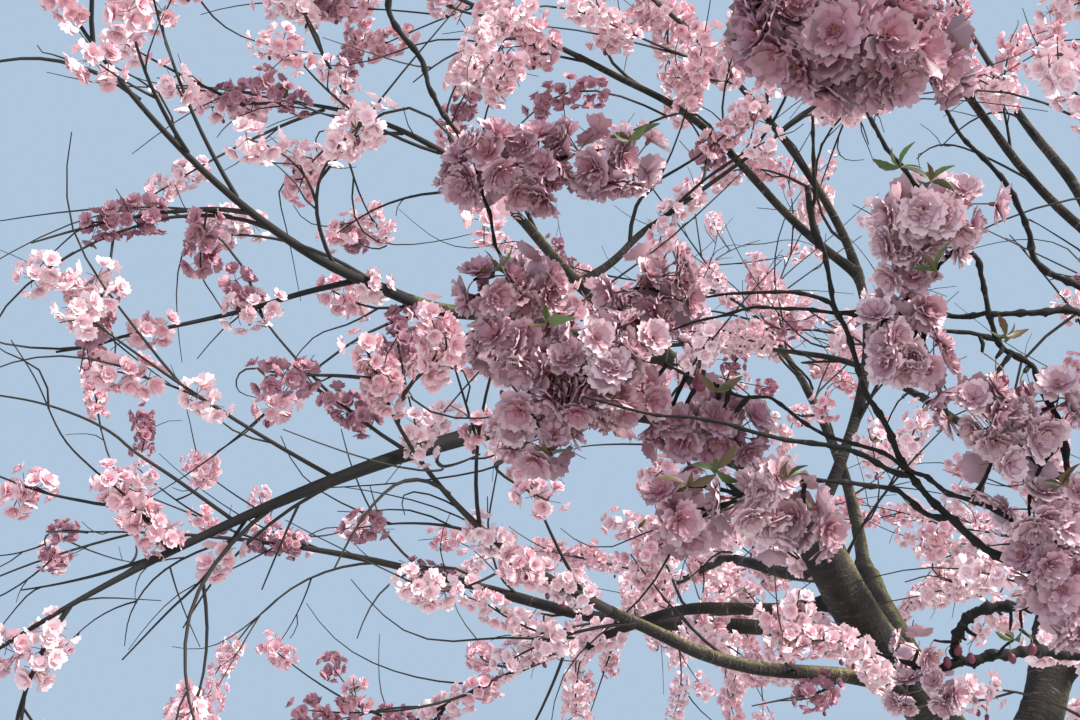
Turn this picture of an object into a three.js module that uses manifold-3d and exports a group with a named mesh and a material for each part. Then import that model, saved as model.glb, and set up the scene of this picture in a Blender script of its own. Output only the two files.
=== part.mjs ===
// A spreading double-flowered cherry tree in full blossom, standing in the ground.
// Millimetres and degrees, +Z up, the origin in the middle of the flat cut under the trunk.
// Headings turn from +X towards +Y, and a rise of 90 points straight up.

import * as THREE from "three";
import { mergeVertices } from "three/addons/utils/BufferGeometryUtils.js";
import Module from "manifold-3d";

const wasm = await Module();
wasm.setup();

// Trunk
const TRUNK = { heading: 205, turn: 0, rise: 84, bend: 12, length: 1880, base: 138, tip: 98 };
const TRUNK_SIDES = 15;
const TRUNK_RINGS = 11;
const FLARE = 105;
const FLARE_HEIGHT = 170;
const FLARE_ROOTS = 5;
const FLARE_DEPTH = 0.38;
const FLARE_PHASE = 0.6;
const CROTCH_SHARE = 0.9;
const CROTCH_NARROWING = 0.42;
const BELOW_CUT = 60;
const SOIL_SIDE = 2000;

// Limbs and boughs
const ROUTE_STEPS = 7;
const WANDER = 7;
const SWAY_WAVES = 1.4;
const NOD_WAVES = 1.1;
const WANDER_PHASE = 0.37;
const LIMB_SIDES = 8;
const BOUGH_SIDES = 5;
const LIMB_RADIUS = 32;
const GAP = 0.3;
const SCRAP_LIMIT = 0.93;

// Each row: name, what it grows from, how far along that, heading, turn of the heading over
// its length, rise, bend of the rise over its length, length, base radius and tip radius.
const LIMBS = [
  ["limb_left", "trunk", 0.93, 214, 14, 63, -32, 950, 66, 50],
  ["limb_right", "trunk", 0.95, 24, 10, 57, 6, 920, 62, 46],
  ["limb_back", "trunk", 0.9, 98, 8, 57, -6, 1050, 54, 38],
  ["limb_front", "trunk", 0.86, 296, -14, 26, -10, 1250, 50, 34],
  ["limb_top", "limb_right", 0.62, 352, 44, 68, 18, 1250, 46, 32],
  ["bough_left_low", "limb_left", 0.97, 199, 26, 43, -76, 1030, 30, 20],
  ["bough_left_rise", "limb_left", 0.98, 2, 0, 62, 66, 1250, 15, 9],
  ["bough_left_high", "bough_left_rise", 0.55, 190, 8, 46, -18, 900, 12, 8],
  ["bough_middle", "bough_left_low", 0.2, 200, -11, 50, -10, 800, 18, 12],
  ["bough_fork", "bough_middle", 0.76, 16, 0, 41, 4, 260, 11, 8],
  ["bough_high_left", "bough_middle", 0.42, 201, 32, 0, -4, 720, 18, 14],
  ["bough_sunlit", "limb_left", 0.42, 212, -3, 5, 4, 930, 20, 13],
  ["bough_shade", "limb_left", 0.76, 152, 4, 4, -10, 560, 17, 13],
  ["bough_right", "limb_right", 0.97, 4, 14, 22, -12, 1150, 31, 14],
  ["bough_right_top", "limb_right", 0.97, 48, -20, 58, -14, 1150, 32, 14],
  ["bough_right_front", "limb_right", 0.5, 330, -14, 26, -12, 1200, 27, 13],
  ["bough_right_back", "limb_right", 0.74, 60, 12, 24, -12, 1200, 26, 13],
  ["bough_back", "limb_back", 0.97, 112, -8, 22, -16, 1150, 28, 15],
  ["bough_back_top", "limb_back", 0.97, 90, 20, 62, -10, 1150, 21, 11],
  ["bough_back_left", "limb_back", 0.62, 160, 6, 14, -4, 1350, 25, 15],
  ["bough_back_high", "limb_top", 0.34, 128, 10, 42, -14, 1200, 16, 9],
  ["bough_front_low", "limb_front", 0.97, 258, -30, 4, -6, 1320, 26, 13],
  ["bough_front_right", "limb_front", 0.97, 316, 10, 22, -14, 1100, 25, 13],
  ["bough_front_rise", "limb_front", 0.62, 270, -34, 52, -44, 1650, 25, 12],
  ["bough_front_top", "limb_top", 0.5, 282, -20, 40, -14, 1150, 25, 13],
  ["bough_right_high", "limb_top", 0.42, 338, 10, 38, -14, 1100, 25, 13],
  ["bough_top_left", "limb_top", 0.96, 200, 10, 44, -14, 1150, 15, 8],
  ["bough_top", "limb_top", 0.97, 110, 30, 70, -6, 800, 19, 11],
  ["bough_top_right", "limb_top", 0.84, 20, -10, 46, -12, 900, 25, 13],
];

// Blossom masses. Each row: name, the bough it ends, reach of its leading twig, turn and bend
// of that twig, length of its side twigs, and seed.
const MASSES = [
  ["blossom_left_low", "bough_left_low", 1150, -42, -15, 560, 11],
  ["blossom_left_rise", "bough_left_rise", 1100, 10, -40, 640, 12],
  ["blossom_middle", "bough_middle", 860, -30, -52, 500, 13],
  ["blossom_left_high", "bough_left_high", 1150, 8, -18, 640, 34],
  ["blossom_fork", "bough_fork", 700, -50, -14, 460, 14],
  ["blossom_high_left", "bough_high_left", 1080, -5, 57, 520, 15],
  ["blossom_sunlit", "bough_sunlit", 950, 46, 14, 500, 16],
  ["blossom_shade", "bough_shade", 1100, -4, -12, 520, 17],
  ["blossom_right", "bough_right", 1350, 8, -14, 700, 18],
  ["blossom_right_top", "bough_right_top", 1200, 10, -34, 720, 19],
  ["blossom_right_front", "bough_right_front", 1350, -8, -16, 700, 20],
  ["blossom_right_back", "bough_right_back", 1350, 8, -14, 700, 21],
  ["blossom_back", "bough_back", 1350, 6, -14, 700, 22],
  ["blossom_back_top", "bough_back_top", 1200, 10, -34, 720, 23],
  ["blossom_back_left", "bough_back_left", 1350, 6, -18, 700, 24],
  ["blossom_back_high", "bough_back_high", 1200, 6, -18, 700, 25],
  ["blossom_front_low", "bough_front_low", 950, -50, 2, 460, 26],
  ["blossom_front_right", "bough_front_right", 1300, 8, -14, 700, 27],
  ["blossom_front_rise", "bough_front_rise", 1200, -8, -36, 560, 28],
  ["blossom_front_top", "bough_front_top", 1200, -8, -18, 700, 29],
  ["blossom_right_high", "bough_right_high", 1200, 8, -18, 700, 30],
  ["blossom_top_left", "bough_top_left", 1200, 10, -18, 700, 31],
  ["blossom_top", "bough_top", 1050, 20, -20, 700, 32],
  ["blossom_top_right", "bough_top_right", 1100, -8, -20, 700, 33],
];
const LEADER_STEPS = 4;
const TWIG_SIDES = 3;
const SIDE_TWIGS = 8;
const FIRST_STATION = 0.08;
const LAST_STATION = 0.9;
const STATION_STEP = 0.05;
const GOLDEN_ANGLE = 137.5;
const SEED_ANGLE = 50;
const SIDE_ANGLE = 58;
const ANGLE_SPREAD = 12;
const SUB_ANGLE = 46;
const SUB_STATIONS = [0.36, 0.68];
const SUB_SHARE = 0.55;
const END_SHARE = 0.7;
const LENGTH_SPREAD = 0.15;
const SUB_SPREAD = 0.2;
const FLATNESS = 0.7;
const STEM_INSET = 4;
const STEM_RADIUS = 16;
const LEADER_TIP_RADIUS = 6;
const BRANCHING_SHARE = 0.52;
const PUFF_RADIUS = 100;
const PUFF_SPREAD = 0.2;
const PUFF_INSET = 0.4;
const PUFF_SQUASH = [1, 0.95, 0.9];
const CLEARANCE = 5;
const PUFF_SPACING = 1;
const SHORTER = [1, 0.78, 0.56];
const TEST_SPACING = 18;

const UP = new THREE.Vector3(0, 0, 1);

const direction = (heading, rise) => {
  const turn = THREE.MathUtils.degToRad(heading);
  const lift = THREE.MathUtils.degToRad(rise);
  return new THREE.Vector3(Math.cos(turn) * Math.cos(lift), Math.sin(turn) * Math.cos(lift), Math.sin(lift));
};

// A small seeded generator, so that every run grows the same tree.
const seeded = (seed) => {
  let state = seed * 7919;
  return () => {
    state = (state + 0x6d2b79f5) | 0;
    let mixed = Math.imul(state ^ (state >>> 15), 1 | state);
    mixed = (mixed + Math.imul(mixed ^ (mixed >>> 7), 61 | mixed)) ^ mixed;
    return ((mixed ^ (mixed >>> 14)) >>> 0) / 4294967296;
  };
};

const varied = (spread, random) => 1 + spread * (2 * random() - 1);

// Points along a limb or twig whose direction turns and bends evenly, with a slow wander.
const route = (start, { heading, turn, rise, bend, length }, steps, wander, phase) => {
  const points = [start.clone()];
  for (let step = 0; step < steps; step += 1) {
    const share = (step + 0.5) / steps;
    const sway = wander * Math.sin(2 * Math.PI * (SWAY_WAVES * share + phase));
    const nod = wander * Math.cos(2 * Math.PI * (NOD_WAVES * share + phase));
    const along = direction(heading + turn * share + sway, rise + bend * share + nod);
    points.push(points[step].clone().addScaledVector(along, length / steps));
  }
  return points;
};

const pointAlong = (points, share) => {
  const place = THREE.MathUtils.clamp(share, 0, 1) * (points.length - 1);
  const step = Math.min(Math.floor(place), points.length - 2);
  return points[step].clone().lerp(points[step + 1], place - step);
};

const headingOf = (vector) => THREE.MathUtils.radToDeg(Math.atan2(vector.y, vector.x));
const riseOf = (vector) => THREE.MathUtils.radToDeg(Math.asin(vector.z / vector.length()));

// A closed tapering tube through the points: an upright cylinder bent onto them.
const taperedTube = (points, radiusAt, sides, rings) => {
  const geometry = new THREE.CylinderGeometry(1, 1, 1, sides, rings);
  const curve = new THREE.CatmullRomCurve3(points);
  const frames = curve.computeFrenetFrames(rings);
  const position = geometry.attributes.position;
  const vertex = new THREE.Vector3();
  for (let index = 0; index < position.count; index += 1) {
    vertex.fromBufferAttribute(position, index);
    const ring = Math.round((vertex.y + 0.5) * rings);
    const share = ring / rings;
    const angle = Math.atan2(vertex.z, vertex.x);
    const radius = Math.hypot(vertex.x, vertex.z) * radiusAt(share, angle);
    const centre = curve.getPoint(share);
    vertex.copy(centre);
    vertex.addScaledVector(frames.normals[ring], Math.cos(angle) * radius);
    vertex.addScaledVector(frames.binormals[ring], -Math.sin(angle) * radius);
    position.setXYZ(index, vertex.x, vertex.y, vertex.z);
  }
  return geometry;
};

// The same points with both ends moved outwards
const lengthened = (points, extra) => {
  const longer = points.map((point) => point.clone());
  const first = points[0].clone().sub(points[1]).normalize();
  const last = points.at(-1).clone().sub(points.at(-2)).normalize();
  longer[0].addScaledVector(first, extra);
  longer.at(-1).addScaledVector(last, extra);
  return longer;
};

const solidOf = (geometry) => {
  geometry.deleteAttribute("normal");
  geometry.deleteAttribute("uv");
  const merged = mergeVertices(geometry, 1e-3);
  return new wasm.Manifold(new wasm.Mesh({
    numProp: 3,
    vertProperties: new Float32Array(merged.attributes.position.array),
    triVerts: new Uint32Array(merged.index.array),
  }));
};

const geometryOf = (solid) => {
  const mesh = solid.getMesh();
  const geometry = new THREE.BufferGeometry();
  geometry.setAttribute("position", new THREE.BufferAttribute(new Float32Array(mesh.vertProperties), 3));
  geometry.setIndex(new THREE.BufferAttribute(new Uint32Array(mesh.triVerts), 1));
  const flat = geometry.toNonIndexed();
  flat.computeVertexNormals();
  return flat;
};

// Drops the loose scraps that a cut leaves, and refuses a cut that parts the piece in two.
const wholePiece = (solid, name) => {
  const pieces = solid.decompose();
  const largest = pieces.reduce((best, piece) => (piece.volume() > best.volume() ? piece : best));
  if (largest.volume() < SCRAP_LIMIT * solid.volume()) {
    throw new Error(`${name} is cut in two`);
  }
  return largest;
};

// Trunk, with a root flare that runs out in five low ridges and a cut level with the ground
const trunkRadius = (grown) => (share, angle) => {
  const { base, tip, length } = TRUNK;
  const taper = base + (tip - base) * share;
  const ridge = 1 + FLARE_DEPTH * Math.cos(FLARE_ROOTS * angle + FLARE_PHASE);
  const flare = FLARE * Math.exp(-(share * length) / FLARE_HEIGHT) * ridge;
  const crotch = Math.max(0, share - CROTCH_SHARE) / (1 - CROTCH_SHARE);
  return (taper + flare) * (1 - CROTCH_NARROWING * crotch * crotch) + grown;
};

const trunkRoute = route(new THREE.Vector3(0, 0, 0), TRUNK, ROUTE_STEPS, 0, 0);

const trunkSolid = (grown) => {
  const start = trunkRoute[0].clone().addScaledVector(UP, -BELOW_CUT);
  const points = lengthened([start, ...trunkRoute.slice(1)], grown);
  const whole = solidOf(taperedTube(points, trunkRadius(grown), TRUNK_SIDES, TRUNK_RINGS));
  const soil = new THREE.BoxGeometry(SOIL_SIDE, SOIL_SIDE, SOIL_SIDE);
  soil.translate(0, 0, -SOIL_SIDE / 2);
  return whole.subtract(solidOf(soil));
};

// Limbs and boughs, each cut clear of those that stand before it
const limbs = new Map();
limbs.set("trunk", {
  points: trunkRoute,
  base: TRUNK.base,
  tip: TRUNK.tip,
  solid: trunkSolid(0),
  grown: trunkSolid(GAP),
});

const limbSolid = ({ points, base, tip }, grown) => {
  const sides = base > LIMB_RADIUS ? LIMB_SIDES : BOUGH_SIDES;
  const radiusAt = (share) => base + (tip - base) * share + grown;
  return solidOf(taperedTube(lengthened(points, grown), radiusAt, sides, ROUTE_STEPS));
};

LIMBS.forEach(([name, parent, along, heading, turn, rise, bend, length, base, tip], index) => {
  const start = pointAlong(limbs.get(parent).points, along);
  const shape = { heading, turn, rise, bend, length };
  const points = route(start, shape, ROUTE_STEPS, WANDER, index * WANDER_PHASE);
  const limb = { points, base, tip };
  let solid = limbSolid(limb, 0);
  const box = solid.boundingBox();
  for (const other of limbs.values()) {
    const near = other.grown.boundingBox();
    const apart = [0, 1, 2].some((axis) => near.max[axis] < box.min[axis] || near.min[axis] > box.max[axis]);
    if (!apart) {
      solid = solid.subtract(other.grown);
    }
  }
  limb.solid = wholePiece(solid, name);
  limb.grown = limbSolid(limb, GAP);
  limbs.set(name, limb);
});

const leaderRadius = (share) => STEM_RADIUS + (LEADER_TIP_RADIUS - STEM_RADIUS) * share;

// The leading twig of each mass, which grows on from its bough's tip
const masses = MASSES.map(([name, bough, reach, turn, bend, width, seed]) => {
  const limb = limbs.get(bough);
  const tip = limb.points.at(-1);
  const along = tip.clone().sub(limb.points.at(-2)).normalize();
  const start = tip.clone().addScaledVector(along, -STEM_INSET);
  const heading = headingOf(along);
  const rise = riseOf(along);
  const points = route(start, { heading, turn, rise, bend, length: reach }, LEADER_STEPS, 0, 0);
  return { name, bough, points, width, seed };
});

// Everything that a new twig or ball of blossom keeps clear of, as tapering rods
const held = [...limbs.values()];
for (const mass of masses) {
  held.push({ mass, points: mass.points, base: leaderRadius(0), tip: leaderRadius(1) });
}

// The free space between a point and the side of a tapering rod
const clearOf = (point, { points, base, tip }) => {
  let nearest = Infinity;
  const span = new THREE.Line3();
  const foot = new THREE.Vector3();
  const steps = points.length - 1;
  for (let step = 0; step < steps; step += 1) {
    span.set(points[step], points[step + 1]);
    const share = (step + span.closestPointToPointParameter(point, true)) / steps;
    span.closestPointToPoint(point, true, foot);
    nearest = Math.min(nearest, foot.distanceTo(point) - base - (tip - base) * share);
  }
  return nearest;
};

// True where a ball of this radius keeps clear of every limb and of all that the other masses
// already hold
const fits = (mass, point, radius) => {
  return held.every((rod) => rod.mass === mass || clearOf(point, rod) > radius + CLEARANCE);
};

const twigFits = (mass, start, along, length, base) => {
  for (let reach = TEST_SPACING; reach <= length; reach += TEST_SPACING) {
    if (!fits(mass, start.clone().addScaledVector(along, reach), base)) {
      return false;
    }
  }
  return true;
};

// A straight pointed twig, as a three-sided cone from its foot to its tip
const twigSolid = ({ start, along, length, base }) => {
  const geometry = new THREE.ConeGeometry(base, length, TWIG_SIDES, 1);
  geometry.translate(0, length / 2, 0);
  geometry.applyQuaternion(new THREE.Quaternion().setFromUnitVectors(new THREE.Vector3(0, 1, 0), along));
  geometry.translate(start.x, start.y, start.z);
  return solidOf(geometry);
};

// A ball of blossom, as one eight-sided puff
const puffSolid = ({ point, radius, turns }) => {
  const geometry = new THREE.OctahedronGeometry(radius, 0);
  geometry.scale(...PUFF_SQUASH);
  geometry.rotateX(Math.PI * turns[0]);
  geometry.rotateZ(Math.PI * turns[1]);
  geometry.translate(point.x, point.y, point.z);
  return solidOf(geometry);
};

// Side twigs round the leading twig by the golden angle, two sub-twigs on each, and a ball of
// blossom at every tip. A twig that doesn't fit is tried shorter and then left out.
const massTwigs = (mass) => {
  const random = seeded(mass.seed);
  const twigs = [];
  const puffs = [];
  const grow = (start, along, fullLength, base) => {
    const radius = PUFF_RADIUS * varied(PUFF_SPREAD, random);
    const turns = [random(), random()];
    for (const share of SHORTER) {
      const length = fullLength * share;
      const point = start.clone().addScaledVector(along, length - radius * PUFF_INSET);
      const alone = puffs.every((puff) => {
        return point.distanceTo(puff.point) > PUFF_SPACING * (radius + puff.radius);
      });
      if (alone && fits(mass, point, radius) && twigFits(mass, start, along, length, base)) {
        twigs.push({ start, along, length, base });
        puffs.push({ point, radius, turns });
        held.push({ mass, points: [start, start.clone().addScaledVector(along, length)], base, tip: 0 });
        held.push({ mass, points: [point, point], base: radius, tip: radius });
        return length;
      }
    }
    return 0;
  };
  for (let index = 0; index < SIDE_TWIGS; index += 1) {
    const share = FIRST_STATION + (LAST_STATION - FIRST_STATION) * (index / (SIDE_TWIGS - 1));
    const start = pointAlong(mass.points, share);
    const before = pointAlong(mass.points, share - STATION_STEP);
    const ahead = pointAlong(mass.points, share + STATION_STEP).sub(before).normalize();
    const side = new THREE.Vector3().crossVectors(ahead, UP).normalize();
    const over = new THREE.Vector3().crossVectors(side, ahead);
    const angle = THREE.MathUtils.degToRad(GOLDEN_ANGLE * index + mass.seed * SEED_ANGLE);
    const out = side.multiplyScalar(Math.cos(angle)).addScaledVector(over, FLATNESS * Math.sin(angle));
    const lean = THREE.MathUtils.degToRad(SIDE_ANGLE + ANGLE_SPREAD * (random() - 0.5));
    const along = ahead.multiplyScalar(Math.cos(lean)).addScaledVector(out, Math.sin(lean)).normalize();
    const bulge = END_SHARE + (1 - END_SHARE) * Math.sin(Math.PI * share);
    const fullLength = mass.width * bulge * varied(LENGTH_SPREAD, random);
    const base = BRANCHING_SHARE * leaderRadius(share);
    const length = grow(start, along, fullLength, base);
    SUB_STATIONS.forEach((station, place) => {
      const spread = SUB_ANGLE * (place % 2 ? 1 : -1) * varied(SUB_SPREAD, random);
      const angleOff = THREE.MathUtils.degToRad(spread);
      const subAlong = along.clone().applyAxisAngle(over, angleOff).normalize();
      const foot = start.clone().addScaledVector(along, length * station);
      if (length > 0) {
        grow(foot, subAlong, fullLength * SUB_SHARE, BRANCHING_SHARE * base * (1 - station));
      }
    });
  }
  const tip = mass.points.at(-1);
  if (fits(mass, tip, PUFF_RADIUS)) {
    puffs.push({ point: tip, radius: PUFF_RADIUS, turns: [random(), random()] });
    held.push({ mass, points: [tip, tip], base: PUFF_RADIUS, tip: PUFF_RADIUS });
  }
  return { twigs, puffs };
};

const massSolid = (mass) => {
  const { twigs, puffs } = massTwigs(mass);
  let solid = solidOf(taperedTube(mass.points, leaderRadius, TWIG_SIDES, LEADER_STEPS));
  for (const twig of twigs) {
    solid = solid.add(twigSolid(twig));
  }
  for (const puff of puffs) {
    solid = solid.add(puffSolid(puff));
  }
  return wholePiece(solid.subtract(limbs.get(mass.bough).grown), mass.name);
};

const bark = () => new THREE.MeshStandardMaterial({ color: 0x4a4036, roughness: 0.9, metalness: 0 });
const petals = () => new THREE.MeshStandardMaterial({ color: 0xe9b3c6, roughness: 0.6, metalness: 0 });

const tree = new THREE.Group();

const addMesh = (name, solid, material) => {
  const mesh = new THREE.Mesh(geometryOf(solid), material);
  mesh.name = name;
  tree.add(mesh);
};

for (const [name, limb] of limbs) {
  addMesh(name, limb.solid, bark());
}
for (const mass of masses) {
  addMesh(mass.name, massSolid(mass), petals());
}

export default tree;
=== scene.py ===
"""A spreading double-flowered cherry tree in full blossom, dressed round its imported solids.

The tree grows by the same seeded rule as its solids and goes on to finer twigs, spurs of
blossom, buds and young leaves. Metres, +Z up, the origin in the middle of the trunk's flat cut.
"""

import functools
import math

import bpy
import numpy as np
from bpy.props import FloatProperty, FloatVectorProperty, PointerProperty
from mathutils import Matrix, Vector, noise


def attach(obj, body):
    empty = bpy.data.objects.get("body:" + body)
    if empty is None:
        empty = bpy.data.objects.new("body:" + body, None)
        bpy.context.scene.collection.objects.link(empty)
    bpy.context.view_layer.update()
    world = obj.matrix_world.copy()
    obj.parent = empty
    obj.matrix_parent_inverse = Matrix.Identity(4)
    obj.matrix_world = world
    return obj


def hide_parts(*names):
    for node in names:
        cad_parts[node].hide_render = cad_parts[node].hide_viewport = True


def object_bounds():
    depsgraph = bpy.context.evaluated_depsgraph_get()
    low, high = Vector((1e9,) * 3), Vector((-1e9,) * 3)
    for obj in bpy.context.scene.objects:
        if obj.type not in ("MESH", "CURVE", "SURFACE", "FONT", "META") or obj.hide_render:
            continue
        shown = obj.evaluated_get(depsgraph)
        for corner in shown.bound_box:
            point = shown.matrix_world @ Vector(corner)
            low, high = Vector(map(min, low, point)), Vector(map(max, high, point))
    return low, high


bl_info = {
    "name": "Blossoming cherry tree",
    "version": (1, 0, 0),
    "blender": (4, 5, 0),
    "location": "3D View > Sidebar > Cherry tree",
    "description": "Builds the bark, twigs, blossom, buds and young leaves of a cherry tree",
    "category": "Add Mesh",
}

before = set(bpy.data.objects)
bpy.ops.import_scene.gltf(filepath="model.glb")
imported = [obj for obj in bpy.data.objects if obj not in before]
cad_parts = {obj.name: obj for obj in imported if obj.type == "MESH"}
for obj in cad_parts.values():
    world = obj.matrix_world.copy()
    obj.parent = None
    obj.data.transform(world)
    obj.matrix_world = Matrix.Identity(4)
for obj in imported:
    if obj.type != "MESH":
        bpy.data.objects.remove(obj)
CAD_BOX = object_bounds()

MM = 0.001
UP = np.array([0.0, 0.0, 1.0])
ACROSS = np.array([1.0, 0.0, 0.0])
TINY = 1e-9
NUDGE = 1e-6
NEARLY_UPRIGHT = 0.9
SEEDS = {"twigs": 7, "near spurs": 19, "near bark": 5, "twig tones": 6, "spurs": 23, "blossom": 23,
         "buds": 41, "leaves": 53}

# The limbs, as in the source. Each row: name, what it grows from, how far along that, heading,
# turn of the heading over its length, rise, bend of the rise, length, base and tip radius.
TRUNK = ("trunk", None, 0, 205, 0, 84, 12, 1880, 138, 98)
LIMBS = [
    ("limb_left", "trunk", 0.93, 214, 14, 63, -32, 950, 66, 50),
    ("limb_right", "trunk", 0.95, 24, 10, 57, 6, 920, 62, 46),
    ("limb_back", "trunk", 0.9, 98, 8, 57, -6, 1050, 54, 38),
    ("limb_front", "trunk", 0.86, 296, -14, 26, -10, 1250, 50, 34),
    ("limb_top", "limb_right", 0.62, 352, 44, 68, 18, 1250, 46, 32),
    ("bough_left_low", "limb_left", 0.97, 199, 26, 43, -76, 1030, 30, 20),
    ("bough_left_rise", "limb_left", 0.98, 2, 0, 62, 66, 1250, 15, 9),
    ("bough_left_high", "bough_left_rise", 0.55, 190, 8, 46, -18, 900, 12, 8),
    ("bough_middle", "bough_left_low", 0.2, 200, -11, 50, -10, 800, 18, 12),
    ("bough_fork", "bough_middle", 0.76, 16, 0, 41, 4, 260, 11, 8),
    ("bough_high_left", "bough_middle", 0.42, 201, 32, 0, -4, 720, 18, 14),
    ("bough_sunlit", "limb_left", 0.42, 212, -3, 5, 4, 930, 20, 13),
    ("bough_shade", "limb_left", 0.76, 152, 4, 4, -10, 560, 17, 13),
    ("bough_right", "limb_right", 0.97, 4, 14, 22, -12, 1150, 31, 14),
    ("bough_right_top", "limb_right", 0.97, 48, -20, 58, -14, 1150, 32, 14),
    ("bough_right_front", "limb_right", 0.5, 330, -14, 26, -12, 1200, 27, 13),
    ("bough_right_back", "limb_right", 0.74, 60, 12, 24, -12, 1200, 26, 13),
    ("bough_back", "limb_back", 0.97, 112, -8, 22, -16, 1150, 28, 15),
    ("bough_back_top", "limb_back", 0.97, 90, 20, 62, -10, 1150, 21, 11),
    ("bough_back_left", "limb_back", 0.62, 160, 6, 14, -4, 1350, 25, 15),
    ("bough_back_high", "limb_top", 0.34, 128, 10, 42, -14, 1200, 16, 9),
    ("bough_front_low", "limb_front", 0.97, 258, -30, 4, -6, 1320, 26, 13),
    ("bough_front_right", "limb_front", 0.97, 316, 10, 22, -14, 1100, 25, 13),
    ("bough_front_rise", "limb_front", 0.62, 270, -34, 52, -44, 1650, 25, 12),
    ("bough_front_top", "limb_top", 0.5, 282, -20, 40, -14, 1150, 25, 13),
    ("bough_right_high", "limb_top", 0.42, 338, 10, 38, -14, 1100, 25, 13),
    ("bough_top_left", "limb_top", 0.96, 200, 10, 44, -14, 1150, 15, 8),
    ("bough_top", "limb_top", 0.97, 110, 30, 70, -6, 800, 19, 11),
    ("bough_top_right", "limb_top", 0.84, 20, -10, 46, -12, 900, 25, 13),
]

# The blossom masses, as in the source. Each row: name after "blossom_", which is also that of
# its bough, reach of the leading twig, its turn and bend, length of its side twigs, and seed.
MASSES = [
    ("left_low", 1150, -42, -15, 560, 11),
    ("left_rise", 1100, 10, -40, 640, 12),
    ("middle", 860, -30, -52, 500, 13),
    ("left_high", 1150, 8, -18, 640, 34),
    ("fork", 700, -50, -14, 460, 14),
    ("high_left", 1080, -5, 57, 520, 15),
    ("sunlit", 950, 46, 14, 500, 16),
    ("shade", 1100, -4, -12, 520, 17),
    ("right", 1350, 8, -14, 700, 18),
    ("right_top", 1200, 10, -34, 720, 19),
    ("right_front", 1350, -8, -16, 700, 20),
    ("right_back", 1350, 8, -14, 700, 21),
    ("back", 1350, 6, -14, 700, 22),
    ("back_top", 1200, 10, -34, 720, 23),
    ("back_left", 1350, 6, -18, 700, 24),
    ("back_high", 1200, 6, -18, 700, 25),
    ("front_low", 950, -50, 2, 460, 26),
    ("front_right", 1300, 8, -14, 700, 27),
    ("front_rise", 1200, -8, -36, 560, 28),
    ("front_top", 1200, -8, -18, 700, 29),
    ("right_high", 1200, 8, -18, 700, 30),
    ("top_left", 1200, 10, -18, 700, 31),
    ("top", 1050, 20, -20, 700, 32),
    ("top_right", 1100, -8, -20, 700, 33),
]
ROUTE_STEPS = 7
WANDER = 7
SWAY_WAVES = 1.4
NOD_WAVES = 1.1
WANDER_PHASE = 0.37
LEADER_STEPS = 4
SIDE_TWIGS = 8
FIRST_STATION = 0.08
LAST_STATION = 0.9
STATION_STEP = 0.05
GOLDEN_ANGLE = 137.5
SEED_ANGLE = 50
SIDE_ANGLE = 58
ANGLE_SPREAD = 12
SUB_ANGLE = 46
SUB_STATIONS = (0.36, 0.68)
SUB_SHARE = 0.55
END_SHARE = 0.7
LENGTH_SPREAD = 0.15
SUB_SPREAD = 0.2
FLATNESS = 0.7
STEM_INSET = 4
STEM_RADIUS = 16
LEADER_TIP_RADIUS = 6
BRANCHING_SHARE = 0.52
PUFF_RADIUS = 100
PUFF_SPREAD = 0.2
PUFF_INSET = 0.4
CLEARANCE = 5
SHORTER = (1, 0.78, 0.56)
TEST_SPACING = 18
WORD = 0xFFFFFFFF

# The picture that the tree is set up for: 1080 x 720, from under the edge of the crown
EYE = np.array([-1.10, -3.85, 1.60])
EYE_PITCH = 20.0
FORWARD = np.array([0, math.cos(math.radians(EYE_PITCH)), math.sin(math.radians(EYE_PITCH))])
UPWARD = np.cross(ACROSS, FORWARD)
PICTURE = (1080, 720)
PICTURE_MARGIN = 60
NEAREST = 0.2
LENS = 50.0
SENSOR = 36.0
FOCAL = PICTURE[0] * LENS / SENSOR
KEY_FROM = (0.72, -0.3, 0.62)
FILL_FROM = (-0.3, -1.0, 0.16)
FLOOR_SIDE = 400.0

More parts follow.
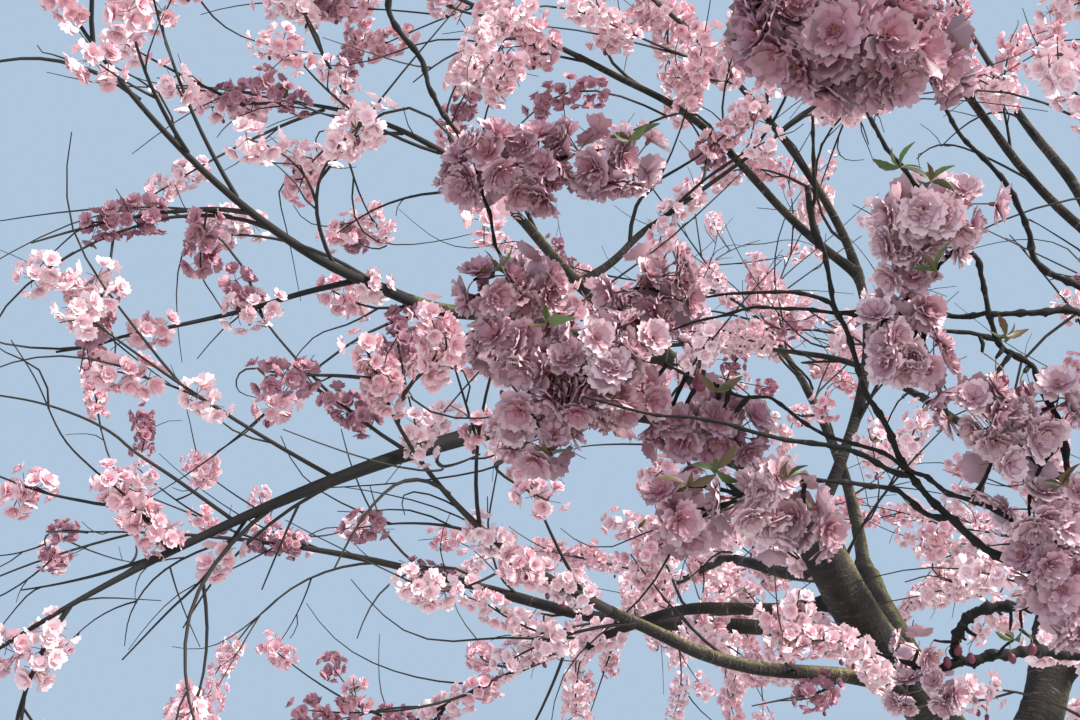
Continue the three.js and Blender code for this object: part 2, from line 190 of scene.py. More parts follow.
# Twigs nearest to the eye. Each row: radius at the foot and at the tip in millimetres, then
# places across and down the picture, each with its distance along the line of sight.
NEAR_TWIGS = [
    (8.5, 1.8, [(1343, 490, 1.85), (1290, 565, 1.75), (1200, 604, 1.62), (1120, 592, 1.52),
     (1057, 579, 1.46), (1000, 554, 1.45), (952, 517, 1.45), (925, 491, 1.45), (902, 460, 1.45),
     (889, 429, 1.45), (874, 407, 1.45), (860, 385, 1.45), (845, 330, 1.45), (836, 310, 1.45),
     (819, 248, 1.45), (812, 213, 1.45), (815, 193, 1.44), (812, 148, 1.43), (809, 115, 1.42)]),
    (4.2, 3.6, [(819, 248, 1.45), (811, 222, 1.45), (803, 184, 1.445)]),
    (4.6, 1.4, [(1200, 604, 1.62), (1130, 576, 1.5), (1060, 548, 1.46), (1000, 514, 1.44),
     (952, 489, 1.44), (914, 472, 1.44), (887, 454, 1.44), (845, 441, 1.44), (814, 426, 1.44),
     (781, 406, 1.44), (740, 393, 1.44), (702, 379, 1.44), (666, 365, 1.44)]),
    (3.4, 1.2, [(912, 476, 1.45), (899, 472, 1.44), (857, 451, 1.42), (826, 443, 1.41), (753, 431, 1.39),
     (705, 417, 1.38), (650, 413, 1.37), (588, 396, 1.36)]),
    (3.4, 1.6, [(952, 517, 1.45), (937, 514, 1.445), (905, 498, 1.44), (864, 486, 1.42), (809, 483, 1.41),
     (774, 487, 1.4), (743, 496, 1.39)]),
    (5.6, 1.6, [(1310, 454, 1.71), (1225, 492, 1.58), (1150, 512, 1.51), (1080, 489, 1.46),
     (1063, 441, 1.45), (1055, 412, 1.45), (1029, 368, 1.45), (1001, 344, 1.45), (988, 313, 1.45),
     (981, 265, 1.44), (960, 244, 1.43), (919, 193, 1.41), (877, 131, 1.38), (850, 78, 1.32),
     (835, 30, 1.24)]),
    (9.5, 3.0, [(1262, 424, 1.58), (1190, 388, 1.53), (1130, 342, 1.48), (1080, 314, 1.46),
     (1040, 316, 1.45), (988, 313, 1.45)]),
    (3.2, 1.2, [(988, 313, 1.45), (960, 317, 1.46), (929, 313, 1.46), (836, 312, 1.46), (795, 309, 1.45),
     (753, 310, 1.45), (712, 318, 1.45), (664, 334, 1.45)]),
    (2.6, 1.2, [(836, 312, 1.46), (826, 301, 1.46), (795, 293, 1.46), (764, 293, 1.46), (725, 294, 1.46),
     (685, 296, 1.46)]),
    (2.8, 1.6, [(1001, 344, 1.45), (991, 339, 1.45), (926, 325, 1.44), (880, 318, 1.44),
     (846, 313, 1.445)]),
    (5.2, 1.8, [(1180, 372, 1.5), (1130, 318, 1.5), (1080, 288, 1.5), (1039, 262, 1.5), (1029, 231, 1.5),
     (1001, 179, 1.49), (970, 145, 1.48), (945, 110, 1.47), (925, 66, 1.44)]),
    (5.4, 1.8, [(676, -104, 1.245), (600, -128, 1.3), (500, -112, 1.4), (430, -66, 1.46), (387, 0, 1.47),
     (418, 55, 1.46), (444, 107, 1.45), (470, 160, 1.44), (489, 217, 1.44), (510, 269, 1.44)]),
    (2.6, 1.2, [(470, 160, 1.44), (500, 168, 1.44), (540, 166, 1.44), (585, 156, 1.44),
     (638, 146, 1.44)]),
    (2.4, 1.2, [(510, 269, 1.44), (518, 292, 1.44), (546, 322, 1.44), (575, 345, 1.44),
     (612, 362, 1.44)]),
    (2.2, 1.2, [(518, 292, 1.44), (512, 330, 1.44), (522, 385, 1.44), (542, 440, 1.44)]),
    (2.4, 1.4, [(1063, 441, 1.45), (1040, 470, 1.44), (1028, 505, 1.44), (1036, 548, 1.44)]),
    (9.0, 7.6, [(1401, 515, 2.14), (1290, 612, 2.1), (1190, 650, 2.05), (1080, 654, 2.0),
     (1036, 652, 1.98), (1000, 656, 1.96), (962, 662, 1.95), (958, 640, 1.95), (970, 620, 1.94),
     (992, 609, 1.93), (1036, 606, 1.92)]),
    (7.0, 2.0, [(962, 662, 1.95), (935, 668, 1.95), (905, 662, 1.96), (880, 655, 1.98)]),
    (5.8, 2.0, [(848, -99, 1.469), (846, -60, 1.3), (838, -20, 1.14), (826, 20, 1.02), (812, 48, 0.96)]),
]

# Spurs of blossom on those twigs: across, down, distance, and flowers
NEAR_SPURS = [
    (474, 176, 1.44, 4), (492, 158, 1.42, 4), (512, 182, 1.43, 4), (536, 158, 1.43, 5),
    (556, 184, 1.43, 3), (578, 152, 1.43, 4), (606, 162, 1.43, 5), (634, 160, 1.43, 4),
    (488, 292, 1.43, 4), (510, 276, 1.45, 3), (532, 290, 1.44, 3), (520, 322, 1.43, 4),
    (545, 302, 1.45, 2), (506, 350, 1.43, 4), (536, 352, 1.42, 4), (564, 372, 1.41, 5),
    (592, 346, 1.41, 5), (616, 372, 1.4, 5), (640, 350, 1.42, 5), (588, 392, 1.42, 4),
    (530, 392, 1.43, 4), (556, 408, 1.44, 3), (618, 398, 1.44, 3), (520, 425, 1.45, 3),
    (546, 442, 1.44, 4), (634, 288, 1.45, 4), (656, 276, 1.45, 5), (672, 302, 1.45, 4),
    (648, 312, 1.45, 3), (642, 402, 1.46, 4), (668, 420, 1.47, 4), (700, 408, 1.48, 4),
    (706, 436, 1.48, 3), (734, 432, 1.48, 4), (676, 438, 1.48, 3), (678, 510, 1.4, 5),
    (690, 522, 1.42, 3), (744, 500, 1.4, 4), (768, 492, 1.4, 4), (788, 512, 1.4, 5), (806, 520, 1.41, 3),
    (760, 520, 1.41, 3), (922, 208, 1.41, 4), (948, 218, 1.42, 5), (905, 232, 1.43, 4),
    (938, 246, 1.43, 4), (962, 204, 1.43, 3), (902, 262, 1.44, 2), (908, 296, 1.45, 3),
    (884, 332, 1.44, 4), (912, 340, 1.44, 4), (898, 360, 1.44, 3), (922, 368, 1.44, 3),
    (976, 406, 1.44, 4), (1000, 426, 1.44, 4), (1038, 416, 1.44, 4), (1058, 398, 1.45, 3),
    (1020, 446, 1.44, 3), (992, 462, 1.44, 2), (1034, 510, 1.44, 4), (1056, 530, 1.44, 5),
    (1036, 560, 1.44, 4), (1074, 506, 1.45, 4), (1080, 560, 1.45, 4), (1062, 592, 1.45, 3),
    (1092, 640, 1.5, 4), (1046, 620, 1.5, 2), (782, 18, 0.98, 5), (798, 40, 0.97, 5), (826, 30, 0.96, 5),
    (842, 54, 0.96, 5), (868, 34, 0.96, 5), (890, 52, 0.97, 5), (914, 28, 0.98, 4), (838, 8, 0.97, 4),
    (790, 0, 0.98, 4), (884, 6, 0.98, 4), (860, 64, 0.97, 4), (922, 50, 1.0, 3), (770, 26, 1.0, 3),
    (918, 650, 1.95, 4), (936, 690, 1.95, 4), (906, 694, 1.96, 3),
]
# Hanging buds: across, down, distance, and how far they hang in millimetres
NEAR_BUDS = [
    (982, 352, 1.44, 30), (996, 358, 1.44, 28), (1024, 372, 1.44, 22), (474, 280, 1.43, 22),
    (482, 286, 1.43, 16), (700, 360, 1.44, 14), (704, 370, 1.44, 12), (518, 310, 1.42, 14),
    (934, 640, 1.94, 26), (950, 646, 1.94, 30), (966, 640, 1.93, 28), (976, 636, 1.93, 22),
    (1010, 630, 1.93, 26), (1022, 628, 1.93, 20), (536, 184, 1.42, 12), (560, 414, 1.42, 16),
]
# Tufts of young leaves: across, down, distance, and leaves
NEAR_LEAVES = [
    (494, 268, 1.44, 4), (630, 140, 1.43, 3), (930, 182, 1.42, 4), (936, 272, 1.43, 2),
    (1006, 336, 1.45, 3), (688, 486, 1.41, 5), (716, 470, 1.41, 4), (1062, 486, 1.45, 3),
    (548, 322, 1.43, 3), (552, 456, 1.44, 3), (716, 392, 1.45, 2), (788, 478, 1.41, 3),
    (1014, 640, 1.93, 4), (1036, 600, 1.92, 3), (900, 168, 1.4, 2),
]

# Twigs a few metres off that the picture shows clearly. Each row: the mass that they count with,
# radius at the foot and at the tip in millimetres, then places as for the nearest twigs.
CHOSEN_TWIGS = [
    ("high_left", 8.0, 2.6, [(362, 279, 3.03), (303, 293, 2.97), (250, 309, 2.91), (180, 325, 2.85),
     (121, 337, 2.8), (98, 345, 2.78), (56, 352, 2.74)]),
    ("high_left", 6.0, 2.0, [(252, 213, 2.83), (215, 209, 2.8), (182, 211, 2.79), (152, 214, 2.78),
     (84, 228, 2.74), (31, 243, 2.7)]),
    ("high_left", 3.4, 1.4, [(115, 221, 2.76), (110, 262, 2.74), (101, 298, 2.73), (87, 337, 2.72),
     (80, 372, 2.7)]),
    ("high_left", 2.6, 1.3, [(207, 210, 2.79), (201, 250, 2.8), (202, 276, 2.81), (213, 295, 2.83),
     (222, 309, 2.84)]),
    ("high_left", 3.2, 1.4, [(478, 330, 3.25), (437, 346, 3.23), (407, 360, 3.22), (393, 382, 3.2),
     (379, 407, 3.2), (370, 430, 3.2)]),
    ("left_low", 4.5, 1.8, [(233, 520, 2.68), (174, 478, 2.64), (135, 452, 2.62), (112, 433, 2.6),
     (79, 416, 2.59), (36, 402, 2.58), (-10, 394, 2.57)]),
    ("left_low", 5.0, 1.8, [(180, 546, 2.63), (135, 511, 2.6), (93, 503, 2.58), (42, 492, 2.57),
     (-12, 472, 2.56)]),
    ("left_low", 3.0, 1.2, [(168, 550, 2.61), (126, 497, 2.6), (93, 469, 2.6), (62, 436, 2.6),
     (36, 380, 2.6), (11, 340, 2.6)]),
    ("left_low", 4.2, 1.6, [(250, 514, 2.7), (208, 573, 2.66), (168, 612, 2.62), (122, 660, 2.6)]),
    ("front_right", 5.0, 1.6, [(1176, 773, 3.1), (1110, 735, 3.0), (1060, 706, 2.93), (1000, 690, 2.87),
     (945, 700, 2.8), (905, 712, 2.76)]),
    ("front_right", 5.0, 1.6, [(1206, 668, 2.95), (1150, 654, 2.9), (1095, 650, 2.84), (1050, 644, 2.8),
     (1015, 658, 2.77)]),
    ("front_right", 4.5, 1.6, [(1209, 571, 2.86), (1150, 600, 2.85), (1100, 614, 2.82), (1060, 604, 2.8),
     (1020, 596, 2.8)]),
    ("right_top", 6.0, 1.8, [(1054, 653, 3.92), (1010, 622, 3.8), (975, 592, 3.7), (935, 576, 3.6),
     (905, 582, 3.55)]),
    ("sunlit", 5.0, 1.8, [(885, 684, 3.55), (862, 655, 3.35), (835, 640, 3.25), (796, 648, 3.15)]),
    ("sunlit", 5.0, 1.8, [(846, 676, 3.46), (820, 692, 3.3), (790, 698, 3.2), (752, 706, 3.15)]),
]

# How far from the solids finer twigs and spurs reach where the picture doesn't show them
TWIG_REACH = 0.14
SPUR_REACH = 0.08
BOX_SPARE = 0.03

# The nearest blossom: the height in the picture that divides it between its two masses, what each
# tuft has more of flowers or leaves, and how far from the eye full and middle detail go
NEAR_DIVIDE = 260
NEAR_EXTRA = 2
NEAR_REACH = 2.05
MIDDLE_REACH = 3.7
TURNED_AWAY = -0.35
LEAF_SPACE = 0.035
NEAR_HANG = 0.6
NEAR_SPACING = 0.006
SHORTEST_SPUR = 0.004
SPUR_RADII = (0.0021, 0.0015)

# Twigs that go on from the masses' own. Each row: spacing of the finer twigs and of the blossom
# along it, and the share of those places that are taken.
TWIG_HABITS = {
    "bough": (0.13, None, 0),
    "inner": (0.13, 0.26, 0.8),
    "chosen": (0.2, 0.24, 0.75),
    "leader": (0.13, 0.28, 0.84),
    "side": (0.14, 0.28, 0.82),
    "sub": (0.14, 0.26, 0.8),
    "fine": (0.16, 0.24, 0.27),
}
LIMB_POINTS = 29
LEADER_POINTS = 65
LOOK_ALONG = 0.01
FOOT_SHARE = 0.92
CUT_SHARE = 0.7
LEADER_TIP = 0.0022
TWIG_TIP = 0.0016
TWIG_BOW = 0.13
TWIG_SCATTER = 0.05
ORPHAN_GAP = 0.035
CHOSEN_SHARE = 0.85
# Points of a twig's path and radius of its foot
TWIG_SHAPES = {"side": (9, 0.0048), "sub": (7, 0.0034)}
# Finer twigs, on the limbs and on other twigs: lean in degrees, radius of the foot with what it
# gains with each metre, and radius of the tip
FINER_START = 0.14
FINER_POINTS = 13
FINER_LEANS = {"inner": (36, 66), "fine": (22, 50)}
FINER_FEET = {"inner": (0.004, 0.003), "fine": (0.00196, 0.0028)}
FINER_TIPS = {"inner": 0.0017, "fine": 0.0011}
INNER_LENGTHS = (0.2, 0.55)
SHORT_LENGTHS = (0.08, 0.2)
LONG_LENGTHS = (0.25, 0.66)
TWIG_CLEARANCE = 0.012

# The mass that blossom close to each limb is counted with
INNER_MASSES = {
    "limb_left": "left_rise", "limb_right": "right_top", "limb_back": "back_top",
    "limb_front": "front_right", "limb_top": "top",
}

# Parts of the picture, each across, down, and half of its width and height. These stay open.
SKY_GAPS = [
    (330, 590, 80, 62), (182, 160, 48, 40), (60, 440, 70, 42), (330, 432, 60, 30), (424, 70, 34, 60),
    (434, 232, 28, 50), (120, 560, 66, 34), (262, 352, 44, 24), (130, 690, 60, 30), (20, 130, 22, 24),
    (590, 200, 24, 34), (440, 446, 44, 26), (360, 478, 44, 22), (285, 508, 40, 18), (160, 118, 36, 34),
    (208, 180, 24, 24), (250, 222, 26, 20), (302, 256, 34, 20), (424, 296, 46, 16), (60, 120, 40, 60),
    (160, 640, 60, 30), (1010, 160, 60, 50), (905, 145, 40, 26), (985, 290, 26, 50), (1030, 340, 44, 22),
    (850, 240, 26, 60), (955, 380, 26, 60), (780, 380, 44, 24), (740, 215, 30, 40),
]
SKY_GAP_KEPT = 0.12
# These are fuller.
FULL_PLACES = [(830, 620, 300, 120), (560, 565, 150, 60), (590, 50, 160, 60)]
FULLER = 2.0
FULLER_OUTSIDE = 1.5
# These let the sky through, and the last two have few fine twigs.
THIN_PLACES = [(970, 190, 130, 110), (620, 230, 80, 50), (560, 500, 120, 40), (40, 600, 120, 110),
               (240, 650, 90, 60)]
THIN_KEPT = 0.52
TWIG_GAPS = [(190, 545, 190, 90), (330, 440, 90, 50)]
TWIGS_KEPT = 0.4
# Near clusters given painted deep shade, painted light and painted light shade, by their row of TONES.
NEAR_TONES = {
    5: [(850, 45, 170, 100), (664, 306, 26, 22)],
    6: [(1050, 450, 80, 90), (930, 215, 70, 60), (612, 340, 40, 26), (760, 500, 60, 30), (640, 150, 30, 26)],
    7: [(550, 170, 100, 50), (500, 310, 50, 50), (600, 402, 110, 22), (700, 425, 60, 30), (682, 520, 26, 26)],
}
# These stand farther off in full light, which their paler petals paint. Shares of light, pale and
# painted-shade spurs, there and elsewhere.
BRIGHT_PLACES = [(600, 50, 200, 80), (860, 230, 220, 160), (600, 600, 240, 130), (950, 600, 150, 110)]
BRIGHT_SHARES = (0.34, 0.64, 0.02)
TONE_SHARES = (0.44, 0.36, 0.2)

# Pieces of blossom, and the masses that each stands for
BLOSSOM_PIECES = {
    "petals_near": ("front_low",),
    "petals_front": ("front_rise",),
    "petals_left": ("left_low", "middle", "sunlit", "shade", "high_left"),
    "petals_upper_left": ("left_rise", "left_high", "fork", "top_left"),
    "petals_right": ("right", "right_front", "right_back", "front_right"),
    "petals_upper_right": ("right_top", "right_high", "top_right", "front_top"),
    "petals_back": ("back", "back_left", "back_top", "back_high", "top"),
}


# Growth, in millimetres, by the source's rule


def direction(heading, rise):
    turn, lift = math.radians(heading), math.radians(rise)
    return np.array([math.cos(turn) * math.cos(lift), math.sin(turn) * math.cos(lift), math.sin(lift)])


def unit(vector):
    return vector / np.linalg.norm(vector)


def seeded(seed):
    """The source's small generator: each call gives the next number from 0 to 1."""
    state = (seed * 7919) & WORD

    def draw():
        nonlocal state
        state = (state + 0x6D2B79F5) & WORD
        mixed = ((state ^ (state >> 15)) * (1 | state)) & WORD
        mixed = (mixed + ((mixed ^ (mixed >> 7)) * (61 | mixed) & WORD) & WORD) ^ mixed
        return (mixed ^ (mixed >> 14)) / (WORD + 1)

    return draw


def varied(spread, draw):
    return 1 + spread * (2 * draw() - 1)


def route(start, heading, turn, rise, bend, length, steps, wander, phase):
    """Points along a limb whose direction turns and bends evenly, with a slow wander."""
    points = [np.asarray(start, float)]
    for step in range(steps):
        share = (step + 0.5) / steps
        sway = wander * math.sin(2 * math.pi * (SWAY_WAVES * share + phase))
        nod = wander * math.cos(2 * math.pi * (NOD_WAVES * share + phase))
        along = direction(heading + turn * share + sway, rise + bend * share + nod)
        points.append(points[-1] + along * length / steps)
    return np.array(points)


def point_along(points, share):
    place = min(max(share, 0), 1) * (len(points) - 1)
    step = min(int(place), len(points) - 2)
    return points[step] + (points[step + 1] - points[step]) * (place - step)


def turned(vector, axis, angle):
    """The vector turned about an axis of length 1."""
    kept = axis * (axis @ vector) * (1 - math.cos(angle))
    return vector * math.cos(angle) + np.cross(axis, vector) * math.sin(angle) + kept


def leader_radius(share):
    return STEM_RADIUS + (LEADER_TIP_RADIUS - STEM_RADIUS) * share


def rods_along(points, base, tip):
    """Tapering rods along a path, or a ball at one point: foot, span, and radius at each end."""
    rows, steps = [], max(len(points) - 1, 1)
    for step in range(steps):
        foot, head = points[step], points[min(step + 1, len(points) - 1)]
        radii = [base + (tip - base) * (step + end) / steps for end in (0, 1)]
        rows.append([*foot, *(head - foot), *radii])
    return rows


def rod_gaps(rods, spots):
    """How far each spot is from the side of each rod."""
    span = rods[:, 3:6]
    gap = np.atleast_2d(spots)[:, None] - rods[:, :3]
    long = np.maximum((span * span).sum(1), TINY)
    share = np.clip((gap * span).sum(2) / long, 0, 1)
    near = np.linalg.norm(gap - share[:, :, None] * span, axis=2)
    return near - (rods[:, 6] + (rods[:, 7] - rods[:, 6]) * share)


class Held:
    """Tapering rods that a new twig or ball of blossom keeps clear of."""

    def __init__(self):
        self.rods, self.owners = np.zeros((0, 8)), np.zeros(0)
        self.waiting = []

    def add(self, owner, points, base, tip):
        self.waiting += [(owner, row) for row in rods_along(points, base, tip)]

    def clear(self, owner, spots, radius):
        """True where balls of this radius at the spots touch nothing of another owner."""
        if self.waiting:
            owners, rows = zip(*self.waiting)
            self.rods, self.owners = np.vstack([self.rods, rows]), np.append(self.owners, owners)
            self.waiting = []
        gaps = rod_gaps(self.rods[self.owners != owner], spots)
        return bool((gaps > radius + CLEARANCE).all())

    def takes(self, owner, start, along, length, base):
        """True where a straight twig touches nothing of another owner."""
        reaches = np.arange(TEST_SPACING, length + TINY, TEST_SPACING)
        return not len(reaches) or self.clear(owner, start + along * reaches[:, None], base)


def grow_mass(held, owner, points, width, seed):
    """The twigs of one mass, as (start, direction, length, radius, kind), and its balls."""
    draw = seeded(seed)
    twigs, balls = [], []

    def grow(start, along, full_length, base, kind):
        radius = PUFF_RADIUS * varied(PUFF_SPREAD, draw)
        draw(), draw()
        for share in SHORTER:
            length = full_length * share
            point = start + along * (length - radius * PUFF_INSET)
            alone = all(np.linalg.norm(point - place) > radius + size for place, size in balls)
            if alone and held.clear(owner, point, radius) and held.takes(owner, start, along, length, base):
                twigs.append((start, along, length, base, kind))
                balls.append((point, radius))
                held.add(owner, np.array([start, start + along * length]), base, 0)
                held.add(owner, point[None], radius, radius)
                return length
        return 0

    for index in range(SIDE_TWIGS):
        share = FIRST_STATION + (LAST_STATION - FIRST_STATION) * (index / (SIDE_TWIGS - 1))
        start = point_along(points, share)
        ahead = unit(point_along(points, share + STATION_STEP) - point_along(points, share - STATION_STEP))
        side = unit(np.cross(ahead, UP))
        over = np.cross(side, ahead)
        angle = math.radians(GOLDEN_ANGLE * index + seed * SEED_ANGLE)
        out = side * math.cos(angle) + over * FLATNESS * math.sin(angle)
        lean = math.radians(SIDE_ANGLE + ANGLE_SPREAD * (draw() - 0.5))
        along = unit(ahead * math.cos(lean) + out * math.sin(lean))
        bulge = END_SHARE + (1 - END_SHARE) * math.sin(math.pi * share)
        full_length = width * bulge * varied(LENGTH_SPREAD, draw)
        base = BRANCHING_SHARE * leader_radius(share)
        length = grow(start, along, full_length, base, "side")
        for place, station in enumerate(SUB_STATIONS):
            spread = SUB_ANGLE * (1 if place % 2 else -1) * varied(SUB_SPREAD, draw)
            sub_along = unit(turned(along, over, math.radians(spread)))
            foot = start + along * length * station
            if length > 0:
                grow(foot, sub_along, full_length * SUB_SHARE, BRANCHING_SHARE * base * (1 - station), "sub")
    if held.clear(owner, points[-1], PUFF_RADIUS):
        balls.append((points[-1], PUFF_RADIUS))
        held.add(owner, points[-1:], PUFF_RADIUS, PUFF_RADIUS)
    return twigs, balls


@functools.lru_cache(maxsize=1)
def grown_tree():
    """Limbs as {name: (points, base, tip)} and masses as {name: (leader, twigs, balls)}."""
    limbs, held = {}, Held()
    for index, row in enumerate([TRUNK, *LIMBS]):
        name, parent, along, heading, turn, rise, bend, length, base, tip = row
        start = point_along(limbs[parent][0], along) if parent else np.zeros(3)
        wander = WANDER if parent else 0
        phase = (index - 1) * WANDER_PHASE
        points = route(start, heading, turn, rise, bend, length, ROUTE_STEPS, wander, phase)
        limbs[name] = (points, base, tip)
        held.add(-1, points, base, tip)
    leaders = {}
    for owner, (name, reach, turn, bend, *_) in enumerate(MASSES):
        points = limbs["bough_" + name][0]
        along = unit(points[-1] - points[-2])
        heading = math.degrees(math.atan2(along[1], along[0]))
        rise = math.degrees(math.asin(along[2]))
        start = points[-1] - along * STEM_INSET
        leaders[name] = route(start, heading, turn, rise, bend, reach, LEADER_STEPS, 0, 0)
        held.add(owner, leaders[name], leader_radius(0), leader_radius(1))
    masses = {}
    for owner, (name, *_, width, seed) in enumerate(MASSES):
        masses[name] = (leaders[name], *grow_mass(held, owner, leaders[name], width, seed))
    return limbs, masses


# Shoots, in metres


def run_along(path):
    """How far along a path each of its points is."""
    return np.concatenate([[0], np.cumsum(np.linalg.norm(np.diff(path, axis=0), axis=1))])


class Shoot:
    """A limb or twig: a smooth path, its radii, its kind and the mass that it belongs to."""

    def __init__(self, path, base, tip, kind, mass):
        self.path, self.base, self.tip, self.kind, self.mass = np.asarray(path), base, tip, kind, mass
        self.run = run_along(self.path)
        self.length = self.run[-1]

    def spot(self, place):
        """The point this far along, or several."""
        return np.stack([np.interp(place, self.run, self.path[:, k]) for k in range(3)], -1)

    def at(self, share):
        """Point and direction at a share of the length, or at several."""
        place = np.clip(share, 0, 1) * self.length
        back, fore = (np.clip(place + step, 0, self.length) for step in (-LOOK_ALONG, LOOK_ALONG))
        return self.spot(place), units(self.spot(fore) - self.spot(back))

    def radius(self, share):
        return self.base + (self.tip - self.base) * share


def units(vectors):
    """Many vectors, each brought to length 1."""
    return vectors / np.maximum(np.linalg.norm(vectors, axis=-1, keepdims=True), TINY)


def around(ahead, angle):
    """A direction square to a twig, at an angle round it."""
    side = unit(np.cross(ahead, UP) + NUDGE)
    return side * math.cos(angle) + np.cross(side, ahead) * math.sin(angle)


def smooth_path(points, count):
    """Points evenly spread along a smooth curve through the given ones."""
    points = np.asarray(points, float)
    padded = np.vstack([2 * points[0] - points[1], points, 2 * points[-1] - points[-2]])
    place = np.linspace(0, len(points) - 1, count)
    step = np.minimum(place.astype(int), len(points) - 2)
    t = (place - step)[:, None]
    a, b, c, d = (padded[step + k] for k in range(4))
    curve = 2 * b + (c - a) * t + (2 * a - 5 * b + 4 * c - d) * t**2 + (3 * b - a - 3 * c + d) * t**3
    return curve / 2


def curved(start, end, bow, count):
    """A path between two points that bows out by a vector at its middle."""
    share = np.linspace(0, 1, count)[:, None]
    return start + (end - start) * share + bow * (4 * share * (1 - share))


def seen(points):
    """Places across and down the picture, and distance along the line of sight."""
    gap = np.atleast_2d(points) - EYE
    far = gap @ FORWARD
    safe = np.where(np.abs(far) < NUDGE, NUDGE, far)
    across = PICTURE[0] / 2 + FOCAL * gap[:, 0] / safe
    down = PICTURE[1] / 2 - FOCAL * (gap @ UPWARD) / safe
    return across, down, far


def placed(across, down, far):
    """The point of the tree's space that stands at this place in the picture."""
    right = ACROSS * ((across - PICTURE[0] / 2) / FOCAL)
    return EYE + far * (FORWARD + right - UPWARD * ((down - PICTURE[1] / 2) / FOCAL))


def in_picture(points):
    """True where a point shows in the picture or close beside it, and its distance."""
    across, down, far = seen(points)
    wide = (across > -PICTURE_MARGIN) & (across < PICTURE[0] + PICTURE_MARGIN)
    high = (down > -PICTURE_MARGIN) & (down < PICTURE[1] + PICTURE_MARGIN)
    return wide & high & (far > NEAREST), far


def near_window(points):
    """True where a point stands in the part of the picture that the nearest twigs fill."""
    inside, far = in_picture(points)
    return inside & (far < NEAR_REACH)


def within(point, places):
    """True where a point stands in one of these parts of the picture."""
    across, down, _ = seen(point)
    return any(((across - x) / wide) ** 2 + ((down - y) / high) ** 2 < 1 for x, y, wide, high in places)


@functools.lru_cache(maxsize=1)
def solid_rods():
    """The rods of every limb, and those with every twig and ball of the masses, in millimetres."""
    limbs, masses = grown_tree()
    wood = [row for limb in limbs.values() for row in rods_along(*limb)]
    blossom = []
    for leader, twigs, balls in masses.values():
        blossom += rods_along(leader, leader_radius(0), leader_radius(1))
        for start, along, length, base, _ in twigs:
            blossom += rods_along(np.array([start, start + along * length]), base, 0)
        for point, radius in balls:
            blossom += rods_along(point[None], radius, radius)
    return np.array(wood), np.array(wood + blossom)


def nearest(rods, points, together=400):
    """How far each point, in metres, is from the nearest rod."""
    points = np.atleast_2d(points) / MM
    parts = [points[first:first + together] for first in range(0, len(points), together)]
    return np.concatenate([rod_gaps(rods, part).min(axis=1) for part in parts]) * MM


def limb_gap(points):
    """How far each point is from the side of the nearest trunk, limb or bough."""
    return nearest(solid_rods()[0], points)


def within_reach(points, reach):
    """True where a point shows in the picture, or is this near to the limbs and the masses."""
    return in_picture(points)[0] | (nearest(solid_rods()[1], points) < reach)


def in_box(points, spare):
    low, high = (np.array(corner) for corner in CAD_BOX)
    return ((points > low - spare) & (points < high + spare)).all(axis=-1)


def mass_shoots(name, leader, twigs, bough_tip, chance):
    """The leading twig of one mass and its side twigs, short of the nearest twigs' room."""
    path, foot, tip = smooth_path(leader * MM, LEADER_POINTS), bough_tip * MM * FOOT_SHARE, LEADER_TIP
    outside = np.flatnonzero(near_window(path))
    if len(outside):
        path, tip = path[:max(outside[0], 2)], foot * CUT_SHARE
    found = [Shoot(path, foot, tip, "leader", name)]
    host = None
    for start, along, length, _, kind in twigs:
        start, end = start * MM, (start + along * length) * MM
        if kind == "side":
            host, foot_of_side = None, start
            if np.linalg.norm(path - start, axis=1).min() > ORPHAN_GAP:
                continue
        elif host is None:
            continue
        else:
            start = host.at(np.linalg.norm(start - foot_of_side) / host.length)[0]
        parent = unit(leader[-1] - leader[0]) if kind == "side" else unit(end - start)
        bow = (parent - along) * length * MM * TWIG_BOW
        bow += np.cross(along, chance.normal(size=3)) * length * MM * TWIG_SCATTER
        points, thick = TWIG_SHAPES[kind]
        twig_path = curved(start, end, bow, points)
        if near_window(twig_path).any():
            continue
        found.append(Shoot(twig_path, thick, TWIG_TIP, kind, name))
        if kind == "side":
            host = found[-1]
    return found


@functools.lru_cache(maxsize=1)
def shoots():
    """Every twig of the tree, limbs and boughs among them."""
    limbs, masses = grown_tree()
    chance = np.random.default_rng(SEEDS["twigs"])
    found = []
    for name, (points, base, tip) in limbs.items():
        if name != "trunk":
            mass = name[len("bough_"):] if name.startswith("bough") else INNER_MASSES[name]
            found.append(Shoot(smooth_path(points * MM, LIMB_POINTS), base * MM, tip * MM, "bough", mass))
    inner = finer_twigs(found, chance, "inner")
    for name, (leader, twigs, _) in masses.items():
        found += mass_shoots(name, leader, twigs, limbs["bough_" + name][2], chance)
    for mass, foot, tip, places in CHOSEN_TWIGS:
        path = smooth_path([placed(*place) for place in places], 8 * len(places))
        path = path[in_box(path, BOX_SPARE)]
        found.append(Shoot(path, CHOSEN_SHARE * foot * MM, CHOSEN_SHARE * tip * MM, "chosen", mass))
    found += inner
    return found + finer_twigs([shoot for shoot in found if shoot.kind != "bough"], chance, "fine")


